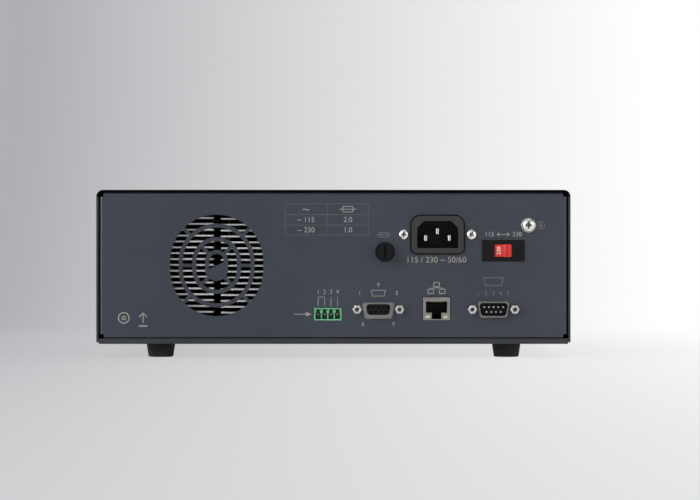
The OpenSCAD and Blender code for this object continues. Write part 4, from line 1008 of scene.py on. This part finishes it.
def digit(marks, value, x, y, w, h, width):
    """A digit of seven straight segments about its middle."""
    gap = width * 0.7
    ends = {
        "a": (-w / 2 + gap, h / 2, w / 2 - gap, h / 2), "g": (-w / 2 + gap, 0, w / 2 - gap, 0),
        "d": (-w / 2 + gap, -h / 2, w / 2 - gap, -h / 2), "f": (-w / 2, gap, -w / 2, h / 2 - gap),
        "b": (w / 2, gap, w / 2, h / 2 - gap), "e": (-w / 2, -h / 2 + gap, -w / 2, -gap),
        "c": (w / 2, -h / 2 + gap, w / 2, -gap),
    }
    for segment in SEGMENTS[value]:
        x0, y0, x1, y1 = ends[segment]
        marks.line(x + x0, y + y0, x + x1, y + y1, width)


def reading(marks, text, x, y, w, h, width):
    """A row of digits with an optional point."""
    pitch = w * 1.6
    for character in text:
        if character == ".":
            marks.block(x - pitch * 0.5, y - h / 2, width * 1.2, width * 1.2)
            continue
        digit(marks, character, x, y, w, h, width)
        x += pitch


def display_reading():
    """Plain numbers and a bar on the lit display."""
    middle = centre("display_window")
    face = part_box("display_window")[0].y + 0.15 * MM
    x, y = -middle.x / MM, middle.z / MM
    marks = Print()
    large, small = (10.0, 19.0, 1.7), (5.2, 11.0, 1.1)
    reading(marks, "5.00", x - 30.0, y + 9.0, *large)
    reading(marks, "0.12", x + 17.2, y + 12.5, *small)
    reading(marks, "60.0", x + 17.2, y - 4.0, *small)
    bar_y, key_x, line_x, line_h, hair = y - 17.0, x + 43.0, x + 11.5, 24.0, 0.3
    marks.box(x - 17.0, bar_y, 48.0, 5.0, 0.5)
    for step in range(14):
        marks.block(x - 38.7 + step * 2.6, bar_y, 1.8, 3.2)
    marks.line(line_x, y + line_h, line_x, y - line_h, hair)
    for number in range(1, 6):
        key_y = front_place(f"soft_key_{number}")[1]
        marks.box(key_x, key_y, 7.0, 7.4, hair)
        marks.words(str(number), key_x, key_y, 3.4)
    marks.done("display_reading", face, TO_FRONT, "case", "window_glass", LIT)


def front_prints():
    """Plain signs on the front plate."""
    below_key, over_power, over_socket, ring_r = -13.4, 12.0, 17.6, 13.4
    marks = Print()
    start_sign(marks, *front_place("start_button", up=below_key))
    stop_sign(marks, *front_place("stop_button", up=below_key))
    power_sign(marks, *front_place("power_button", up=over_power), 5.0)
    earth_sign(marks, *front_place("return_socket", up=over_socket), 6.4, 0.55)
    marks.arc(*front_place("return_socket"), ring_r, HEAVY)
    marks.done("front_prints", *FRONT, "bezel_plastic", DARK_INK)
    hot = Print()
    hot.arc(*front_place("hv_socket"), ring_r, HEAVY)
    bolt_sign(hot, *front_place("hv_socket", up=over_socket), 7.0)
    hot.done("hv_ring", *FRONT, "stop_red", RED_INK)


def bolt_sign(marks, x, y, size):
    """High voltage: a bolt in a triangle."""
    low, top, half = y - size * 0.42, y + size * 0.45, size * 0.5
    upper = ((-0.2, -0.08), (0.06, -0.1), (0.06, 0.2))
    lower = ((-0.06, -0.34), (0.18, -0.04), (-0.06, -0.02))
    marks.lines([(x - half, low), (x + half, low), (x, top), (x - half, low)], BOLD)
    for outline in (upper, lower):
        marks.fill([(x + across * size, y + up * size) for across, up in outline])


def start_sign(marks, x, y):
    """A triangle that points to the right."""
    marks.fill([(x - 1.6, y - 2.0), (x + 2.0, y), (x - 1.6, y + 2.0)])


def stop_sign(marks, x, y):
    """A square."""
    marks.block(x, y, 3.4, 3.4)


def power_sign(marks, x, y, size):
    """A broken ring with a stem."""
    marks.arc(x, y, size / 2, BOLD, 120.0, 300.0)
    marks.line(x, y, x, y + size * 0.62, BOLD)


def key_numbers():
    """Numbers on the soft keys."""
    for number in range(1, 6):
        node = f"soft_key_{number}"
        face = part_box(node)[1].y
        marks = Print()
        marks.words(str(number), *front_place(node), 3.2)
        marks.done(f"soft_key_number_{number}", face, TO_FRONT, BODY_OF[node], "power_white")


# How far each visible node's edges are rounded, in millimetres
EDGES = {
    "top_cover": 0.12, "bottom_chassis": 0.2, "rear_panel": 0.12, "front_bezel": 1.2, "front_plate": 0.25,
    "inlet_body": 0.45, "inlet_pins": 0.65, "fuse_holder": 0.3, "fuse_cap": 0.25, "selector_body": 0.3,
    "selector_slider": 0.2, "terminal_header": 0.12, "terminal_pins": 0.15, "handler_shell": 0.14,
    "serial_shell": 0.14, "handler_insert": 0.12, "serial_insert": 0.12, "serial_pins": 0.2,
    "jackscrews": 0.18, "lan_shield": 0.15, "lan_insert": 0.1, "lan_contacts": 0.08, "heat_sink_left": 0.2,
    "heat_sink_right": 0.2, "display_window": 0.3, "power_button": 0.7, "start_button": 0.9,
    "stop_button": 0.9, "danger_lamp": 0.7, "hv_socket": 0.6, "return_socket": 0.6, "fan_frame": 0.4,
    "fan_rotor": 0.2, **{f"soft_key_{i}": 0.7 for i in range(1, 6)},
}


# Stage, lamps and camera

# The stage's colours, darker on the left and lighter on the right as painted light, and how far to each side
# they are reached
PALE_LEFT = (0.412, 0.417, 0.437)
PALE_RIGHT = (0.98, 0.98, 0.98)
PALE_FAR = (0.77, 0.775, 0.785)
PALE_EDGE = 0.3
PALE_REACH = 3.0
# How much of what is seen of the stage is its own painted colour, glowing
STAGE_GLOW = 0.9
# The view: its width at the rear panel, and its middle
VIEW_SPAN = 0.41335
VIEW_X = 0.0098
VIEW_Z = 0.0635
LENS = 180.0
SENSOR = 36.0
CAMERA_Y = PANEL_Y - VIEW_SPAN * LENS / SENSOR


def stage_finish():
    """Pale, and lighter on the right: painted light. What is seen is mostly the stage's own glowing colour,
    with some of the lamps' shadow in it."""
    made = Finish("Pale stage", roughness=1.0, specular_ior_level=0.0)
    edge = PALE_EDGE / PALE_REACH / 2
    ramp = made.node("ValToRGB")
    stops = ramp.color_ramp.elements
    for place, level in ((0.5 - edge, PALE_LEFT), (0.5 + edge, PALE_RIGHT)):
        stops.new(place).color = (*level, 1)
    for stop in (stops[0], stops[-1]):
        stop.color = (*PALE_FAR, 1)
    made.link(made.along("X", -PALE_REACH, PALE_REACH), ramp.inputs["Fac"])
    glow = made.node("Emission")
    path = made.node("LightPath")
    seen = made.node("Math")
    seen.operation = "MAXIMUM"
    share = made.node("MapRange", to_max=STAGE_GLOW)
    front = made.node("MixShader")
    side = made.node("NewGeometry")
    nothing = made.node("BsdfTransparent")
    behind = made.node("MixShader")
    wire(made.tree, (ramp, "Color", made.shader, "Base Color"), (ramp, "Color", glow, "Color"),
         (path, "Is Camera Ray", seen, 0), (path, "Is Glossy Ray", seen, 1), (seen, "Value", share, "Value"),
         (share, "Result", front, "Fac"), (made.shader, "BSDF", front, 1), (glow, "Emission", front, 2),
         (side, "Backfacing", behind, "Fac"), (front, "Shader", behind, 1), (nothing, "BSDF", behind, 2),
         (behind, "Shader", made.tree.nodes["Material Output"], "Surface"))
    return made.material


def ribbon(name, points):
    """A mesh of faces from each pair of points to the next pair."""
    mesh = bpy.data.meshes.new(name)
    mesh.from_pydata(points, [], [(i, i + 1, i + 3, i + 2) for i in range(0, len(points) - 2, 2)])
    return mesh


def stage():
    """A wide floor with a low rim far away, and behind the object a curved backdrop. The rim and the backdrop
    are clear when seen from their backs."""
    reach, wall_y, bend, wall_h, rim_h, lift, steps = 9.0, 1.2, 0.5, 3.0, 2.0, 0.0005, 16
    sides = (-reach, reach)
    turns = [math.pi / 2 * i / steps for i in range(steps + 1)]
    curve = [(wall_y - bend + bend * math.sin(a), lift + bend - bend * math.cos(a)) for a in turns]
    curve.append((wall_y, wall_h))
    corners = [(-reach, wall_y), (-reach, -reach), (reach, -reach), (reach, wall_y)]
    floor = ribbon("floor", [(x, y, 0) for y in sides for x in sides])
    wall = ribbon("backdrop", [(x, y, z) for y, z in curve for x in sides])
    rim = ribbon("rim", [(x, y, z) for x, y in corners for z in (0, rim_h)])
    pale = stage_finish()
    for mesh in (floor, wall, rim):
        mesh.materials.append(pale)
        obj = loose(mesh.name, mesh if mesh is rim else smooth(mesh))
        obj.visible_shadow = mesh is floor
        obj.visible_diffuse = obj.visible_glossy = mesh is not rim


# Soft rectangular studio lamps: place, size in metres and watts
LAMPS = {
    "rear_key": ((-1.0, -1.9, 1.2), (1.2, 1.0), 10),
    "rear_fill": ((1.3, -1.7, 0.7), (1.0, 1.0), 4),
    "left_edge": ((-1.25, -1.25, 0.5), (0.6, 1.0), 12),
    "right_edge": ((1.25, -1.25, 0.5), (0.6, 1.0), 3),
    "left_side": ((-1.8, 0.2, 0.5), (0.8, 1.0), 24),
    "right_side": ((1.8, 0.2, 0.5), (0.8, 1.0), 14),
    "top": ((0, 0.1, 2.0), (1.6, 1.6), 14),
    "front_key": ((0.9, 2.0, 1.2), (1.4, 1.0), 20),
    "front_fill": ((-1.2, 1.7, 0.8), (1.0, 1.0), 11),
}
LAMP_AIM = Vector((0, 0, 0.05))


def light_and_camera():
    """Soft lamps on all sides, an even sky, and the camera square to the rear panel."""
    for name, (place, size, watts) in LAMPS.items():
        data = bpy.data.lights.new(name, "AREA")
        data.shape = "RECTANGLE"
        data.size, data.size_y = size
        data.energy = watts
        obj = loose(name, data)
        obj.location = place
        obj.rotation_euler = (LAMP_AIM - Vector(place)).to_track_quat("-Z", "Y").to_euler()
    world = bpy.data.worlds.new("Even sky")
    world.use_nodes = True
    sky = world.node_tree.nodes["Background"]
    sky.inputs["Color"].default_value = (0.72, 0.73, 0.75, 1)
    sky.inputs["Strength"].default_value = 0.4
    scene.world = world
    data = bpy.data.cameras.new("camera")
    data.lens = LENS
    data.sensor_width = SENSOR
    data.clip_end = 100.0
    camera = loose("camera", data)
    camera.location = (VIEW_X, CAMERA_Y, VIEW_Z)
    camera.rotation_euler = (math.pi / 2, 0, 0)
    scene.camera = camera
    scene.view_settings.view_transform = "Standard"


stage()
light_and_camera()
finish_nodes()
for node, width in EDGES.items():
    eased(node, width * MM)
screws("inlet_screws", lambda low, high: Vector((0, -1, 0)), 3)
screws("cover_screws", lambda low, high: Vector((math.copysign(1, low.x + high.x), 0, 0)), 5)
ground_terminal()
feet()
roof_edge()
jack_lights()
jackscrew_threads()
rear_prints()
selector_print()
knob()
knob_scale()
display_reading()
front_prints()
key_numbers()
